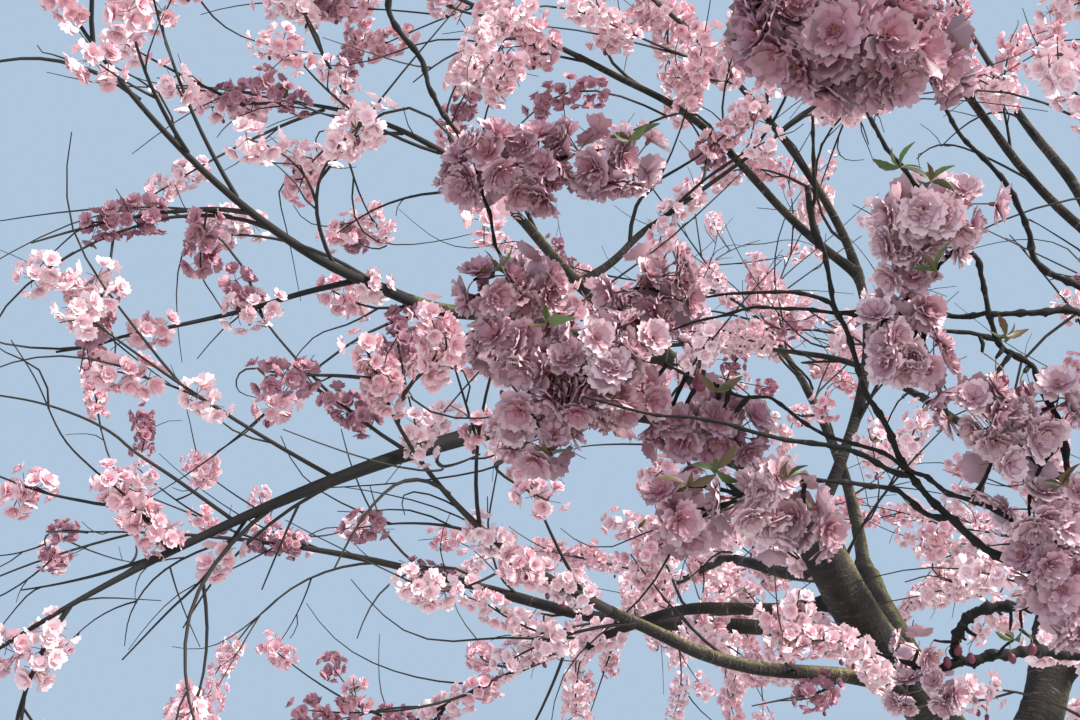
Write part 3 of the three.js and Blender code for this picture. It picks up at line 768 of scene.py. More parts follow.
def finer_twigs(parents, chance, kind):
    """Thin shoots along every twig, turned round it by the golden angle."""
    made = []
    leans, (foot, more), tip = FINER_LEANS[kind], FINER_FEET[kind], FINER_TIPS[kind]
    for parent in parents:
        count = int(parent.length * (1 - FINER_START) / TWIG_HABITS[parent.kind][0])
        for index in range(count):
            share = FINER_START + (1 - FINER_START) * (index + chance.uniform(0.2, 0.8)) / count
            point, ahead = parent.at(share)
            out = around(ahead, math.radians(GOLDEN_ANGLE * index) + chance.uniform(-0.5, 0.5))
            lean = math.radians(chance.uniform(*leans))
            along = unit(ahead * math.cos(lean) + out * math.sin(lean) + UP * chance.uniform(-0.15, 0.2))
            short = kind == "fine" and chance.random() < 0.5
            lengths = INNER_LENGTHS if kind == "inner" else SHORT_LENGTHS if short else LONG_LENGTHS
            length = chance.uniform(*lengths)
            bow = (ahead - along) * length * 0.3 + chance.normal(scale=0.07, size=3) * length
            path = curved(point, point + along * length, bow, FINER_POINTS)
            sway = chance.normal(scale=0.03, size=3) * length
            path = path + np.sin(np.linspace(0, 2 * math.pi, FINER_POINTS))[:, None] * sway
            made.append(Shoot(path, foot + more * length, tip, kind, parent.mass))
    middle = FINER_POINTS // 2
    tests = np.array([shoot.path[middle:] for shoot in made])
    free = (limb_gap(tests.reshape(-1, 3)) > TWIG_CLEARANCE).reshape(len(made), -1).all(axis=1)
    free &= within_reach(tests[:, -1], TWIG_REACH)
    free &= in_box(tests, BOX_SPARE).all(axis=1)
    free &= ~near_window(tests.reshape(-1, 3)).reshape(len(made), -1).any(axis=1)
    open_sky = np.array([within(shoot.path[middle], [*SKY_GAPS, *THIN_PLACES, *TWIG_GAPS]) for shoot in made])
    free &= ~open_sky | (chance.random(len(made)) < TWIGS_KEPT)
    return [shoot for shoot, keep in zip(made, free) if keep]


@functools.lru_cache(maxsize=1)
def near_shoots():
    """The twigs nearest to the eye, and a spur from them to each near tuft of blossom."""
    chance = np.random.default_rng(SEEDS["near spurs"])
    found = []
    for base, tip, places in NEAR_TWIGS:
        points = np.array([placed(*place) for place in places])
        count = int(run_along(points)[-1] / NEAR_SPACING) + 2
        found.append(Shoot(smooth_path(points, count), base * MM, tip * MM, "near", "front_low"))
    spurs = []
    for across, down, far, *_ in [*NEAR_SPURS, *NEAR_LEAVES, *NEAR_BUDS]:
        end = placed(across, down, far)
        gaps = [(np.linalg.norm(shoot.path - end, axis=1), shoot) for shoot in found]
        gap, shoot = min(gaps, key=lambda pair: pair[0].min())
        foot = shoot.path[gap.argmin()]
        reach = np.linalg.norm(end - foot)
        if reach > SHORTEST_SPUR:
            bow = chance.normal(size=3) * reach * 0.08
            path = curved(foot, end, bow, max(int(reach / NEAR_SPACING), 3))
            spurs.append(Shoot(path, *SPUR_RADII, "spur", "front_low"))
    return found + spurs


# Meshes


class Joined:
    """Faces gathered from many small shapes into one mesh."""

    def __init__(self):
        self.points, self.faces, self.slots, self.places, self.count = [], [], [], [], 0

    def add(self, points, faces, slots=0, places=None):
        """Points with their faces, in one array or in several, and their places on the bark."""
        points = np.asarray(points).reshape(-1, 3)
        for part in faces if isinstance(faces, list) else [faces]:
            self.faces.append(part + self.count)
            self.slots.append(np.broadcast_to(slots, len(part)))
        self.points.append(points)
        self.count += len(points)
        if places is not None:
            self.places.append(places)

    def piece(self, name, finishes, nodes=(), slot=None, smooth=False):
        """The mesh as a piece that rides on the tree and stands for the CAD nodes named."""
        if not self.count:
            raise RuntimeError(f"{name} has no faces")
        mesh = bpy.data.meshes.new(name)
        points = np.concatenate(self.points).astype(np.float32)
        mesh.vertices.add(len(points))
        mesh.vertices.foreach_set("co", points.ravel())
        corners = np.concatenate([faces.ravel() for faces in self.faces]).astype(np.int32)
        sides = np.concatenate([np.full(len(faces), faces.shape[1]) for faces in self.faces])
        mesh.loops.add(len(corners))
        mesh.loops.foreach_set("vertex_index", corners)
        mesh.polygons.add(len(sides))
        starts = np.concatenate([[0], np.cumsum(sides)[:-1]]).astype(np.int32)
        mesh.polygons.foreach_set("loop_start", starts)
        mesh.polygons.foreach_set("material_index", np.concatenate(self.slots).astype(np.int32))
        mesh.polygons.foreach_set("use_smooth", np.full(len(sides), smooth))
        if self.places:
            place = mesh.attributes.new(BARK_PLACE, "FLOAT_VECTOR", "POINT")
            place.data.foreach_set("vector", np.concatenate(self.places).astype(np.float32).ravel())
        mesh.update(calc_edges=True)
        made = bpy.data.objects.new(name, mesh)
        bpy.context.scene.collection.objects.link(made)
        for finish in finishes:
            mesh.materials.append(finish)
        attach(made, "root")
        if nodes:
            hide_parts(*nodes)
        return made


def square_to(axes):
    """A direction square to each axis, and one square to both."""
    side = units(np.cross(axes, np.where(np.abs(axes[..., 2:3]) < NEARLY_UPRIGHT, UP, ACROSS)))
    return side, np.cross(axes, side)


def ring_angles(sides):
    """Angles evenly spread round a ring."""
    return np.arange(sides) * 2 * math.pi / sides


def ring_ways(side, over, sides):
    """For each pair of directions, a ring of directions in their plane."""
    angle = ring_angles(sides)[:, None]
    return side[:, None] * np.cos(angle) + over[:, None] * np.sin(angle)


def level_ring(radius, height, sides, turn=0.0):
    angle = ring_angles(sides) + turn
    return np.stack([np.cos(angle) * radius, np.sin(angle) * radius, np.full(sides, height)], -1)


def tube(path, radii, sides):
    """Points round a path, in rings that never twist. Radii may differ round a ring."""
    ahead = units(np.gradient(path, axis=0))
    side = np.empty_like(path)
    side[0] = square_to(ahead[0])[0]
    for index in range(1, len(path)):
        side[index] = unit(side[index - 1] - ahead[index] * (side[index - 1] @ ahead[index]))
    radii = np.broadcast_to(np.asarray(radii).reshape(len(path), -1), (len(path), sides))
    points = path[:, None] + ring_ways(side, np.cross(ahead, side), sides) * radii[:, :, None]
    return points.reshape(-1, 3)


@functools.lru_cache(maxsize=256)
def tube_faces(rings, sides):
    """Four-sided faces between the rings of a tube."""
    ring = np.arange(rings - 1)[:, None] * sides
    here, after = np.arange(sides), (np.arange(sides) + 1) % sides
    faces = np.stack([ring + here, ring + after, ring + sides + after, ring + sides + here], -1)
    return faces.reshape(-1, 4)


def fan(first, sides, tip):
    """Triangles from a ring, whose first point is given, to one more point."""
    here, after = np.arange(sides), (np.arange(sides) + 1) % sides
    return np.stack([first + here, first + after, np.full(sides, tip)], -1)


def halved(quads):
    return np.concatenate([quads[:, [0, 1, 2]], quads[:, [0, 2, 3]]])


# Bark

BARK_PLACE = "bark_place"
RELIEF_SIDES = {"trunk": 80, "limb": 36, "bough": 14}
RELIEF_SPACING = {"trunk": 0.014, "limb": 0.013, "bough": 0.017}
# Layers of relief: cells in a metre across and along the bark, shift along it, and weight
RELIEF_LAYERS = ((14, 9, 0, 1.0), (22, 95, 7, 0.42), (60, 60, 31, 0.3))
RELIEF_SHARE = 0.085
RELIEF_LIMITS = (0.0005, 0.0075)
LIMB_SHIFT = 3.1
TWIG_SHIFT = 1.7
TIP_BULGE = 0.3
ROOT_RIDGES = 5
ROOT_PHASE = -9.8
ROOT_FLARE = 105
ROOT_FLARE_HEIGHT = 170
ROOT_DEPTH = 0.38
CROTCH_SHARE = 0.9
CROTCH_NARROWING = 0.42
# The skin that joins the limbs at a fork: its size is a share of the thinner limb's radius, and
# it moves points that lie within some sizes of two limbs, unless they are buried deeper
FILLET_SHARE = 0.5
FILLET_LIMITS = (0.002, 0.018)
FILLET_ROOM = 0.25
FILLET_SLOPE = 0.15
FILLET_NEAR = 4
FILLET_BURIED = 2.2
FILLET_MOVE = 1.4
OUT_OF_REACH = 9.0
# Bud scars of the nearest twigs: sides of a tube and scars' spacing by kind, swelling and kinks
KNOT_SIDES = {"near": 9, "spur": 5}
KNOT_SPACING = {"near": 0.026, "spur": 0.013}
FIRST_SCAR = 0.6
KNOT_SWELLING = 0.5
KNOT_WIDTH = 0.0038
KINK = 0.002
NEAR_SLIMMER = 0.8
UNEVEN = 0.1
# Sides and rings of the other twigs' tubes; the shorter kinds have more rings with their length
TWIG_RINGS = {"leader": (7, 26), "side": (5, 12), "inner": (4, 5), "sub": (4, 5), "fine": (3, 4),
              "chosen": (6, 26)}
RING_EVERY = 0.08
LEADER_TAPER = 1.25


def trunk_tube(points, base, tip):
    """The trunk in level rings, with its root ridges and narrower under its crotch."""
    length = TRUNK[7]
    path = smooth_path(points * MM, int(length * MM / RELIEF_SPACING["trunk"]))
    sides = RELIEF_SIDES["trunk"]
    share = np.linspace(0, 1, len(path))[:, None]
    ridge = 1 + ROOT_DEPTH * np.cos(ROOT_RIDGES * (ring_angles(sides) - math.radians(ROOT_PHASE)))
    flare = ROOT_FLARE * np.exp(-share * length / ROOT_FLARE_HEIGHT) * ridge
    crotch = np.maximum(0, share - CROTCH_SHARE) / (1 - CROTCH_SHARE)
    radii = (base + (tip - base) * share + flare) * (1 - CROTCH_NARROWING * crotch**2) * MM
    skin = path[:, None] + level_ring(1, 0, sides) * radii[:, :, None]
    return skin.reshape(-1, 3), path, radii


def limb_fields(points):
    """By limb: how far each point is from its side, the way out of it, and its radius there."""
    fields = []
    for route_points, base, tip in grown_tree()[0].values():
        path = smooth_path(route_points * MM, LIMB_POINTS)
        best = np.full(len(points), OUT_OF_REACH)
        way, thick = np.zeros_like(points), np.zeros(len(points))
        low, high = path.min(0) - FILLET_ROOM, path.max(0) + FILLET_ROOM
        near = ((points > low) & (points < high)).all(1)
        spots = points[near]
        for step in range(len(path) - 1):
            span, gap = path[step + 1] - path[step], spots - path[step]
            share = np.clip((gap @ span) / (span @ span), 0, 1)
            reach = gap - share[:, None] * span
            radius = (base + (tip - base) * (step + share) / (len(path) - 1)) * MM
            far = np.linalg.norm(reach, axis=1)
            better = far - radius < best[near]
            chosen = np.flatnonzero(near)[better]
            best[chosen], thick[chosen] = (far - radius)[better], radius[better]
            way[chosen] = units(reach)[better]
        fields.append((best, way, thick))
    return (np.array(field) for field in zip(*fields))


def fillet(points):
    """Points on limbs, moved out onto the smooth skin that joins every limb at its forks."""
    gaps, ways, radii = limb_fields(points)
    order, rows = np.argsort(gaps, axis=0)[:2], np.arange(len(points))
    closest, small = gaps.min(0), np.minimum(radii[order[0], rows], radii[order[1], rows])
    low, high = FILLET_LIMITS
    size = np.clip(FILLET_SHARE * small, low, high)
    weight = np.exp(-np.minimum((gaps - closest) / size, 50))
    total = weight.sum(0)
    skin = closest - size * np.log(total)
    slope = np.einsum("lp,lpk->pk", weight / total, ways)
    move = -skin / np.maximum((slope**2).sum(1), FILLET_SLOPE)
    joined = (gaps[order[1], rows] < FILLET_NEAR * size) & (closest >= -FILLET_BURIED * size)
    return points + slope * np.where(joined, np.clip(move, 0, FILLET_MOVE * size), 0)[:, None]


def relief(place, thick):
    """How far the bark stands out at points of its own straightened space."""
    out = np.empty(len(place))
    for index, (x, y, z) in enumerate(place.tolist()):
        out[index] = sum(weight * noise.noise(Vector((x * across, y * across, z * along + shift)))
                         for across, along, shift, weight in RELIEF_LAYERS)
    return out * np.clip(thick * RELIEF_SHARE, *RELIEF_LIMITS)


def bark_places(run, thick, sides, shift):
    """Where each point of a tube stands on its own bark, straightened out."""
    angle, along = np.tile(ring_angles(sides), len(run)), np.repeat(run, sides) + shift
    return np.stack([np.cos(angle) * thick, np.sin(angle) * thick, along], -1)


def add_barked(joined, skin, sides, place, end):
    """A tube closed by a fan to a point past its last ring, with its places on the bark."""
    rings = len(skin) // sides
    faces = [tube_faces(rings, sides), fan(len(skin) - sides, sides, len(skin))]
    joined.add(np.vstack([skin, [end]]), faces, 0, np.vstack([place, [[0, 0, place[-1, 2]]]]))


def bark_piece(name, members, finish):
    """Trunk, limbs or boughs as one mesh, with relief, swollen where they fork."""
    limbs, joined = grown_tree()[0], Joined()
    for order, (limb, (points, base, tip)) in enumerate(limbs.items()):
        if not limb.startswith(members):
            continue
        kind = limb.split("_")[0]
        sides = RELIEF_SIDES[kind]
        if kind == "trunk":
            skin, path, radii = trunk_tube(points, base, tip)
        else:
            path = smooth_path(points * MM, int(run_along(points)[-1] * MM / RELIEF_SPACING[kind]))
            radii = np.repeat(np.linspace(base, tip, len(path))[:, None] * MM, sides, axis=1)
            skin = tube(path, radii, sides)
        place = bark_places(run_along(path), radii.ravel(), sides, order * LIMB_SHIFT)
        outward = units(skin - np.repeat(path, sides, axis=0))
        skin = fillet(skin) + outward * relief(place, radii.ravel())[:, None]
        if kind == "trunk":
            skin[:sides, 2] = 0
            skin[:, 2] = np.maximum(skin[:, 2], 0)
        add_barked(joined, skin, sides, place, path[-1] + (path[-1] - path[-2]) * TIP_BULGE)
    nodes = [limb for limb in limbs if limb.startswith(members)]
    return joined.piece(name, [finish], nodes, "bark", smooth=True)


def near_twigs_piece(finish):
    """The twigs nearest to the eye, knobbly and slightly bent at their bud scars."""
    joined, chance = Joined(), np.random.default_rng(SEEDS["near bark"])
    for order, shoot in enumerate(near_shoots()):
        near, sides, spacing = shoot.kind == "near", KNOT_SIDES[shoot.kind], KNOT_SPACING[shoot.kind]
        path = shoot.path.copy()
        if near:
            kinks = chance.normal(scale=KINK, size=(max(int(shoot.length / spacing), 2), 3))
            places = np.linspace(0, shoot.length, len(kinks))
            kinks[0] = 0
            path += np.stack([np.interp(shoot.run, places, kinks[:, k]) for k in range(3)], -1)
        thick = shoot.radius(shoot.run / shoot.length)
        radii = thick * (NEAR_SLIMMER if near else 1)
        scars = np.arange(spacing * FIRST_SCAR, shoot.length, spacing)
        if len(scars):
            gap = np.abs(shoot.run[:, None] - scars).min(axis=1)
            radii = radii * (1 + KNOT_SWELLING * np.exp(-((gap / KNOT_WIDTH) ** 2)))
        radii = radii[:, None] * (1 + UNEVEN * chance.normal(size=(len(path), sides)))
        place = bark_places(shoot.run, np.repeat(thick, sides), sides, order * TWIG_SHIFT)
        add_barked(joined, tube(path, radii, sides), sides, place, path[-1])
    return joined.piece("twigs_near", [finish], (), "bark", smooth=True)


def twigs_piece(finishes):
    """Leading, side and finer twigs of every mass."""
    joined, chance = Joined(), np.random.default_rng(SEEDS["twig tones"])
    for shoot in shoots():
        if shoot.kind == "bough":
            continue
        sides, rings = TWIG_RINGS[shoot.kind]
        if shoot.kind in ("fine", "inner", "sub"):
            rings += int(shoot.length / RING_EVERY)
        share = np.linspace(0, 1, rings)
        if shoot.kind == "leader":
            radii = shoot.tip + (shoot.base - shoot.tip) * (1 - share) ** LEADER_TAPER
        else:
            radii = shoot.radius(share)
        skin = tube(shoot.at(share)[0], radii, sides)
        joined.add(skin, tube_faces(rings, sides), int(chance.integers(len(finishes))))
    return joined.piece("twigs", finishes, (), "bark", smooth=True)


# Shapes of blossom, throat at the origin and face towards +Z, 1 wide, with kinds of surface

OUTER, INNER, THROAT, FILAMENT, ANTHER, EDGE = range(6)
PETAL_TURN = 0.2
# A petal in full: rows of its grid outwards, half its width there, and how its tip is notched
PETAL_ROWS = np.array((0.0, 0.34, 0.7, 1.0))
PETAL_HALVES = np.array((0.12, 0.4, 0.6, 0.5))
NOTCHED_TIP = np.array((-0.16, 0.02, -0.1, 0.02, -0.16))
# Rings of petals: how many, length, lift and turn, and in full also width and curl
FULL_RINGS = ((7, 0.53, 0.04, 0.0, 0.64, 0.2), (7, 0.48, 0.32, 0.45, 0.6, 0.24),
              (5, 0.37, 0.72, 0.2, 0.54, 0.2))
MIDDLE_RINGS = ((6, 0.52, 0.42, 0.0), (5, 0.44, 0.95, 0.5))
FAR_RINGS = ((5, 0.54, 0.46, 0.0), (4, 0.44, 1.0, 0.6))
MIDDLE_PETAL = np.array([(0.02, 0, 0), (0.6, -0.46, 0.1), (1.0, -0.26, 0.04), (0.88, 0, -0.04),
                         (1.0, 0.26, 0.04), (0.6, 0.46, 0.1)])
MIDDLE_FACES = ([[0, 1, 3], [1, 2, 3], [0, 3, 5], [3, 4, 5]], [[0, 1, 3], [0, 3, 5]])
FAR_FACES = ([[0, 1, 2], [0, 2, 3]], [[0, 1, 3]])
FAR_WIDENING = (1, 1.25)
STAMENS = 9
KNOB = np.array([[0.018, 0, 0], [-0.009, 0.016, 0], [-0.009, -0.016, 0], [0, 0, 0.024]])
KNOB_FACES = [[0, 1, 3], [1, 2, 3], [2, 0, 3], [0, 2, 1]]
CUP_RINGS = ((0.07, 0.0), (0.05, -0.13), (0.02, -0.17))
SEPALS = 5
SEPAL = np.array([[0.05, -0.035, -0.02], [0.05, 0.035, -0.02], [0.2, 0, -0.01]])
BUD_TIP = 1.45
BUD_TWIST = 0.3


class Shape:
    """Points, triangles and the kind of surface of each triangle."""

    def __init__(self):
        self.points, self.faces, self.kinds, self.count = [], [], [], 0

    def add(self, points, faces, kind=0):
        self.points.append(np.asarray(points, float))
        self.faces.append(np.asarray(faces) + self.count)
        self.kinds.append(np.full(len(faces), kind))
        self.count += len(points)

    def add_petals(self, chance, ring, reaches, tilts, petal):
        """A ring of petals, each made by a rule from its length and tilt."""
        count, length, lift, offset = ring
        for index in range(count):
            reach, tilt = length * chance.uniform(*reaches), lift + chance.normal(0, tilts)
            points, faces, kinds = petal(reach, tilt)
            turn = index + chance.uniform(-PETAL_TURN, PETAL_TURN)
            self.add(spun(points, offset + 2 * math.pi * turn / count), faces, kinds)

    def done(self):
        return np.concatenate(self.points), np.concatenate(self.faces), np.concatenate(self.kinds)


def grid_faces(rows, columns):
    index = np.arange(rows * columns).reshape(rows, columns)
    quads = np.stack([index[:-1, :-1], index[:-1, 1:], index[1:, 1:], index[1:, :-1]], -1)
    return halved(quads.reshape(-1, 4))


def spun(points, angle):
    """Points turned about +Z."""
    c, s = math.cos(angle), math.sin(angle)
    return points @ np.array([[c, s, 0], [-s, c, 0], [0, 0, 1]])


def full_petal(chance, length, width, lift, curl):
    """One petal as a grid: cupped, frilled and notched, from the throat out along +X."""
    rows, across = PETAL_ROWS, np.linspace(-1, 1, len(NOTCHED_TIP))
    slope = lift + curl * rows
    step = np.diff(rows, prepend=0) * length
    out, rise = np.cumsum(np.cos(slope) * step), np.cumsum(np.sin(slope) * step)
    x = np.repeat(out[:, None], len(across), 1)
    x[-1] += NOTCHED_TIP * length * chance.uniform(0.6, 1.3)
    frill = np.sin(across * 4.2 + chance.uniform(0, 6)) * chance.uniform(0.02, 0.06) * length
    z = rise[:, None] + 0.1 * length * across**2 * rows[:, None] + frill * rows[:, None] ** 2
    y = across * (PETAL_HALVES[:, None] * width * length)
    return np.stack([x, y + x * chance.uniform(-0.14, 0.14), z], -1).reshape(-1, 3)


def full_blossom(seed):
    """A double blossom in full detail: three rings of petals and a tuft of stamens."""
    chance, made = np.random.default_rng(seed), Shape()
    faces = grid_faces(len(PETAL_ROWS), len(NOTCHED_TIP))
    throat = (faces < 2 * len(NOTCHED_TIP)).all(axis=1)
    edge = (faces >= 2 * len(NOTCHED_TIP)).all(axis=1)
    for level, (*ring, width, curl) in enumerate(FULL_RINGS):

        def petal(reach, tilt):
            points = full_petal(chance, reach, width * chance.uniform(0.85, 1.15), tilt, curl)
            kinds = np.where(throat, THROAT, INNER if level else OUTER)
            return points + (0.05, 0, level * 0.014), faces, np.where(edge & (level < 2), EDGE, kinds)

        made.add_petals(chance, ring, (0.86, 1.08), 0.11, petal)
    for _ in range(STAMENS):
        lean, angle, tall = chance.uniform(0.1, 0.8), chance.uniform(0, 6.28), chance.uniform(0.16, 0.27)
        tip = spun(np.array([math.sin(lean) * tall, 0, math.cos(lean) * tall]), angle)
        side = spun(np.array([0, 0.007, 0]), angle)
        made.add([-side, side, tip], [[0, 1, 2]], FILAMENT)
        made.add(KNOB + tip, KNOB_FACES, ANTHER)
    return made.done()


def middle_blossom(seed):
    """A double blossom for a few metres away: eleven petals of four or two triangles."""
    chance, made = np.random.default_rng(seed), Shape()
    for kind, ring in enumerate(MIDDLE_RINGS):

        def petal(reach, tilt):
            out, side, rise = (MIDDLE_PETAL * reach).T
            x, z = out * math.cos(tilt) - rise * math.sin(tilt), out * math.sin(tilt) + rise * math.cos(tilt)
            return np.stack([x, side * 1.1, z], -1), MIDDLE_FACES[kind], kind

        made.add_petals(chance, ring, (0.86, 1.08), 0.14, petal)
    return made.done()


def far_blossom(seed):
    """A double blossom for far away: folded outer petals round simple inner ones."""
    chance, made = np.random.default_rng(seed), Shape()
    for kind, ring in enumerate(FAR_RINGS):

        def petal(reach, tilt):
            x, z = math.cos(tilt), math.sin(tilt)
            middle, fold = 0.62 * x, 0.62 * z + 0.08
            points = np.array([[0, 0, 0], [middle, -0.5, fold], [0.96 * x, 0, z], [middle, 0.5, fold]])
            return points * reach * FAR_WIDENING[kind], FAR_FACES[kind], kind

        made.add_petals(chance, ring, (0.85, 1.1), 0.16, petal)
    return made.done()


def calyx(sides):
    """The cup under a blossom, from the throat down to its stalk, with its sepals."""
    made = Shape()
    made.add(np.concatenate([level_ring(*ring, sides) for ring in CUP_RINGS]), halved(tube_faces(3, sides)))
    for index in range(SEPALS):
        made.add(spun(SEPAL, 2 * math.pi * index / SEPALS), [[0, 1, 2]])
    return made.done()


def bud_shape(rows, sides):
    """A round closed bud, its stalk end at the origin and its tip towards +Z."""
    made, levels = Shape(), np.linspace(0, math.pi, rows + 1)[1:-1]
    rings = [level_ring(math.sin(level) * 0.5, 0.7 - 0.7 * math.cos(level), sides, index * BUD_TWIST)
             for index, level in enumerate(levels)]
    points = np.concatenate([[[0, 0, 0]], *rings, [[0, 0, BUD_TIP]]])
    foot, tip = fan(1, sides, 0)[:, [2, 1, 0]], fan(len(points) - 1 - sides, sides, len(points) - 1)
    made.add(points, np.concatenate([halved(tube_faces(len(levels), sides) + 1), foot, tip]))
    return made.done()


def leaf_shape(teeth):
    """A young leaf folded along its midrib, from its stalk at the origin out along +X."""
    made, share = Shape(), np.linspace(0, 1, teeth)
    half = 0.15 * np.sin(math.pi * share**0.85) + 0.008
    saw = np.where(np.arange(teeth) % 2, 1.0, 0.86)
    rise = 0.22 * share - 0.34 * share**2
    rib = np.stack([share, 0 * share, rise], -1)
    edge = np.stack([share + 0.02, half * saw, rise + half * 0.55], -1)
    made.add(np.stack([edge * [1, -1, 1], rib, edge], 1).reshape(-1, 3), grid_faces(teeth, 3))
    return made.done()


def facing(axes, spins):
    """Turns that bring +Z to each axis, after a spin about it."""
    axes = units(axes)
    x, y = (-way for way in square_to(axes))
    c, s = np.cos(spins)[:, None], np.sin(spins)[:, None]
    return np.stack([x * c + y * s, y * c - x * s, axes], -1)


def add_copies(joined, shape, places, turns, sizes, slots_of):
    """Copies of a shape, each with its own place, turn, size and row of finishes."""
    points, faces, kinds = shape
    made = np.einsum("nij,vj->nvi", turns * sizes[:, None, None], points) + places[:, None]
    steps = np.arange(len(places))[:, None, None] * len(points)
    joined.add(made, (faces[None] + steps).reshape(-1, 3), slots_of[:, kinds].ravel())


def add_stalks(joined, starts, middles, ends, radius, sides, rings, slot):
    """Thin curved tubes from each start by way of a middle point to each end."""
    share = np.linspace(0, 1, rings)[None, :, None]
    path = (starts[:, None] * (1 - share) ** 2 + 2 * middles[:, None] * share * (1 - share)
            + ends[:, None] * share**2)
    ring = ring_ways(*square_to(units(ends - starts)), sides)
    steps = np.arange(len(starts))[:, None, None] * (rings * sides)
    faces = (halved(tube_faces(rings, sides))[None] + steps).reshape(-1, 3)
    joined.add(path[:, :, None] + ring[:, None] * radius, faces, slot)


# Spurs of blossom

# Where blossom starts along a twig, by kind, and the kinds that always end in a spur
SPUR_START = {"inner": 0.3, "leader": 0.06, "side": 0.14, "sub": 0.16, "fine": 0.3, "chosen": 0.2}
ENDED = ("inner", "leader", "side", "sub")
SPUR_SPACING = 0.034
SPURS_TOGETHER = (2, 6)
MORE_OUTSIDE = 2
FLOWERS_TOGETHER = (6, 9)
FAR_GROWTH = 1.12
OUTSIDE_GROWTH = 1.28
NEAR_GROWTH = 0.98
NEAR_STALKS = 0.95
FLOWER_LEANS = (0, 0.75, -0.75)
DROOP = 0.12
NEAR_LEANING = np.array([0, -0.25, -0.15])
SHAPE_SEEDS = (1, 2, 3, 4)
# Cups and stalks by detail: sides and rings of a stalk, and sides of the cup
STALK_RADIUS = 0.0008
STALK_SHAPES = ((4, 4, 5), (3, 2, 0))
CUP_DEPTH = 0.16
BUD_SHARE = 0.16
BUD_HANGS = (0.02, 0.034)
BUD_STALK_RADIUS = 0.0007
LEAF_SHARE = 0.07
LEAF_TURN = 2.4
# Finishes by tone: outer petals, inner petals, throat, filaments, anthers and edges of petals.
# The first three rows are the farther crown's, in light, pale and painted shade; the others give the near
# clusters painted shade and light.
TONES = np.array([
    (3, 2, 0, 5, 6, 3),
    (4, 3, 1, 5, 6, 4),
    (8, 8, 7, 5, 6, 8),
    (9, 9, 7, 5, 6, 10),
    (10, 9, 8, 5, 6, 12),
    (11, 8, 7, 5, 6, 9),
    (10, 10, 8, 5, 6, 12),
    (9, 8, 7, 5, 6, 10),
])


@functools.lru_cache(maxsize=1)
def spur_rows():
    """Each spur as (point, direction of its twig, mass, blossoms, tone)."""
    chance, rows = np.random.default_rng(SEEDS["spurs"]), []
    for shoot in shoots():
        _, spacing, taken = TWIG_HABITS[shoot.kind]
        if not spacing:
            continue
        first = SPUR_START[shoot.kind]
        count = max(int(round(shoot.length * (1 - first) / spacing)), 1)
        for index in range(count):
            must = index == count - 1 and shoot.kind in ENDED
            share = 1.0 if must else first + (1 - first) * (index + chance.uniform(0.1, 0.9)) / count
            spot = shoot.at(share)[0]
            full, shown = within(spot, FULL_PLACES), in_picture(spot)[0][0]
            fuller = FULLER if full else 1 if shown else FULLER_OUTSIDE
            if chance.random() > taken * fuller and not must:
                continue
            spurs = int(chance.integers(*SPURS_TOGETHER)) + (1 if full else 0 if shown else MORE_OUTSIDE)
            # Paler tones paint sunlight where the crown stands in full light; the shaded tone is painted
            # shade
            tone = int(chance.choice(3, p=BRIGHT_SHARES if within(spot, BRIGHT_PLACES) else TONE_SHARES))
            if within(spot, SKY_GAPS) and chance.random() > SKY_GAP_KEPT:
                continue
            if within(spot, THIN_PLACES) and chance.random() > THIN_KEPT:
                continue
            for spur in range(spurs):
                back = spur * SPUR_SPACING / shoot.length
                if share - back < 0.02:
                    break
                point, ahead = shoot.at(share - back)
                rows.append((point, ahead, shoot.mass, int(chance.integers(*FLOWERS_TOGETHER)), tone))
    points = np.array([row[0] for row in rows])
    free = (limb_gap(points) > -0.002) & in_box(points, 0.0) & ~near_window(points)
    free &= within_reach(points, SPUR_REACH)
    return [row for row, keep in zip(rows, free) if keep]


def far_flowers(chance):
    """Each flower of the crown, but for the nearest, as (foot, direction, mass, tone)."""
    rows = []
    for point, ahead, mass, count, tone in spur_rows():
        start = chance.uniform(0, 2 * math.pi)
        for index in range(count):
            out = around(ahead, start + 2 * math.pi * (index + chance.uniform(-0.25, 0.25)) / count)
            lean = FLOWER_LEANS[index % 3] + chance.uniform(-0.2, 0.2)
            rows.append((point, unit(out + ahead * lean - UP * DROOP), mass, tone))
    return rows


def near_flowers(chance):
    """Each flower nearest to the eye, in balls round the ends of their spurs."""
    rows = []
    for across, down, far, count in NEAR_SPURS:
        point = placed(across, down, far)
        # Near clusters all take painted shade from the mauve rows; some parts of the picture get deeper shade
        # or light painted in
        tone = 3 + int(chance.random() < 0.6)
        tone = next((row for row, places in NEAR_TONES.items() if within(point, places)), tone)
        mass = "front_rise" if down < NEAR_DIVIDE else "front_low"
        count += NEAR_EXTRA
        for index in range(count):
            level = 1 - 2 * (index + 0.5) / count
            angle = GOLDEN_ANGLE * math.pi / 180 * index + chance.uniform(0, 6.28)
            flat = math.sqrt(1 - level * level)
            way = np.array([flat * math.cos(angle), flat * math.sin(angle), level])
            rows.append((point, unit(way + NEAR_LEANING), mass, tone))
    return rows


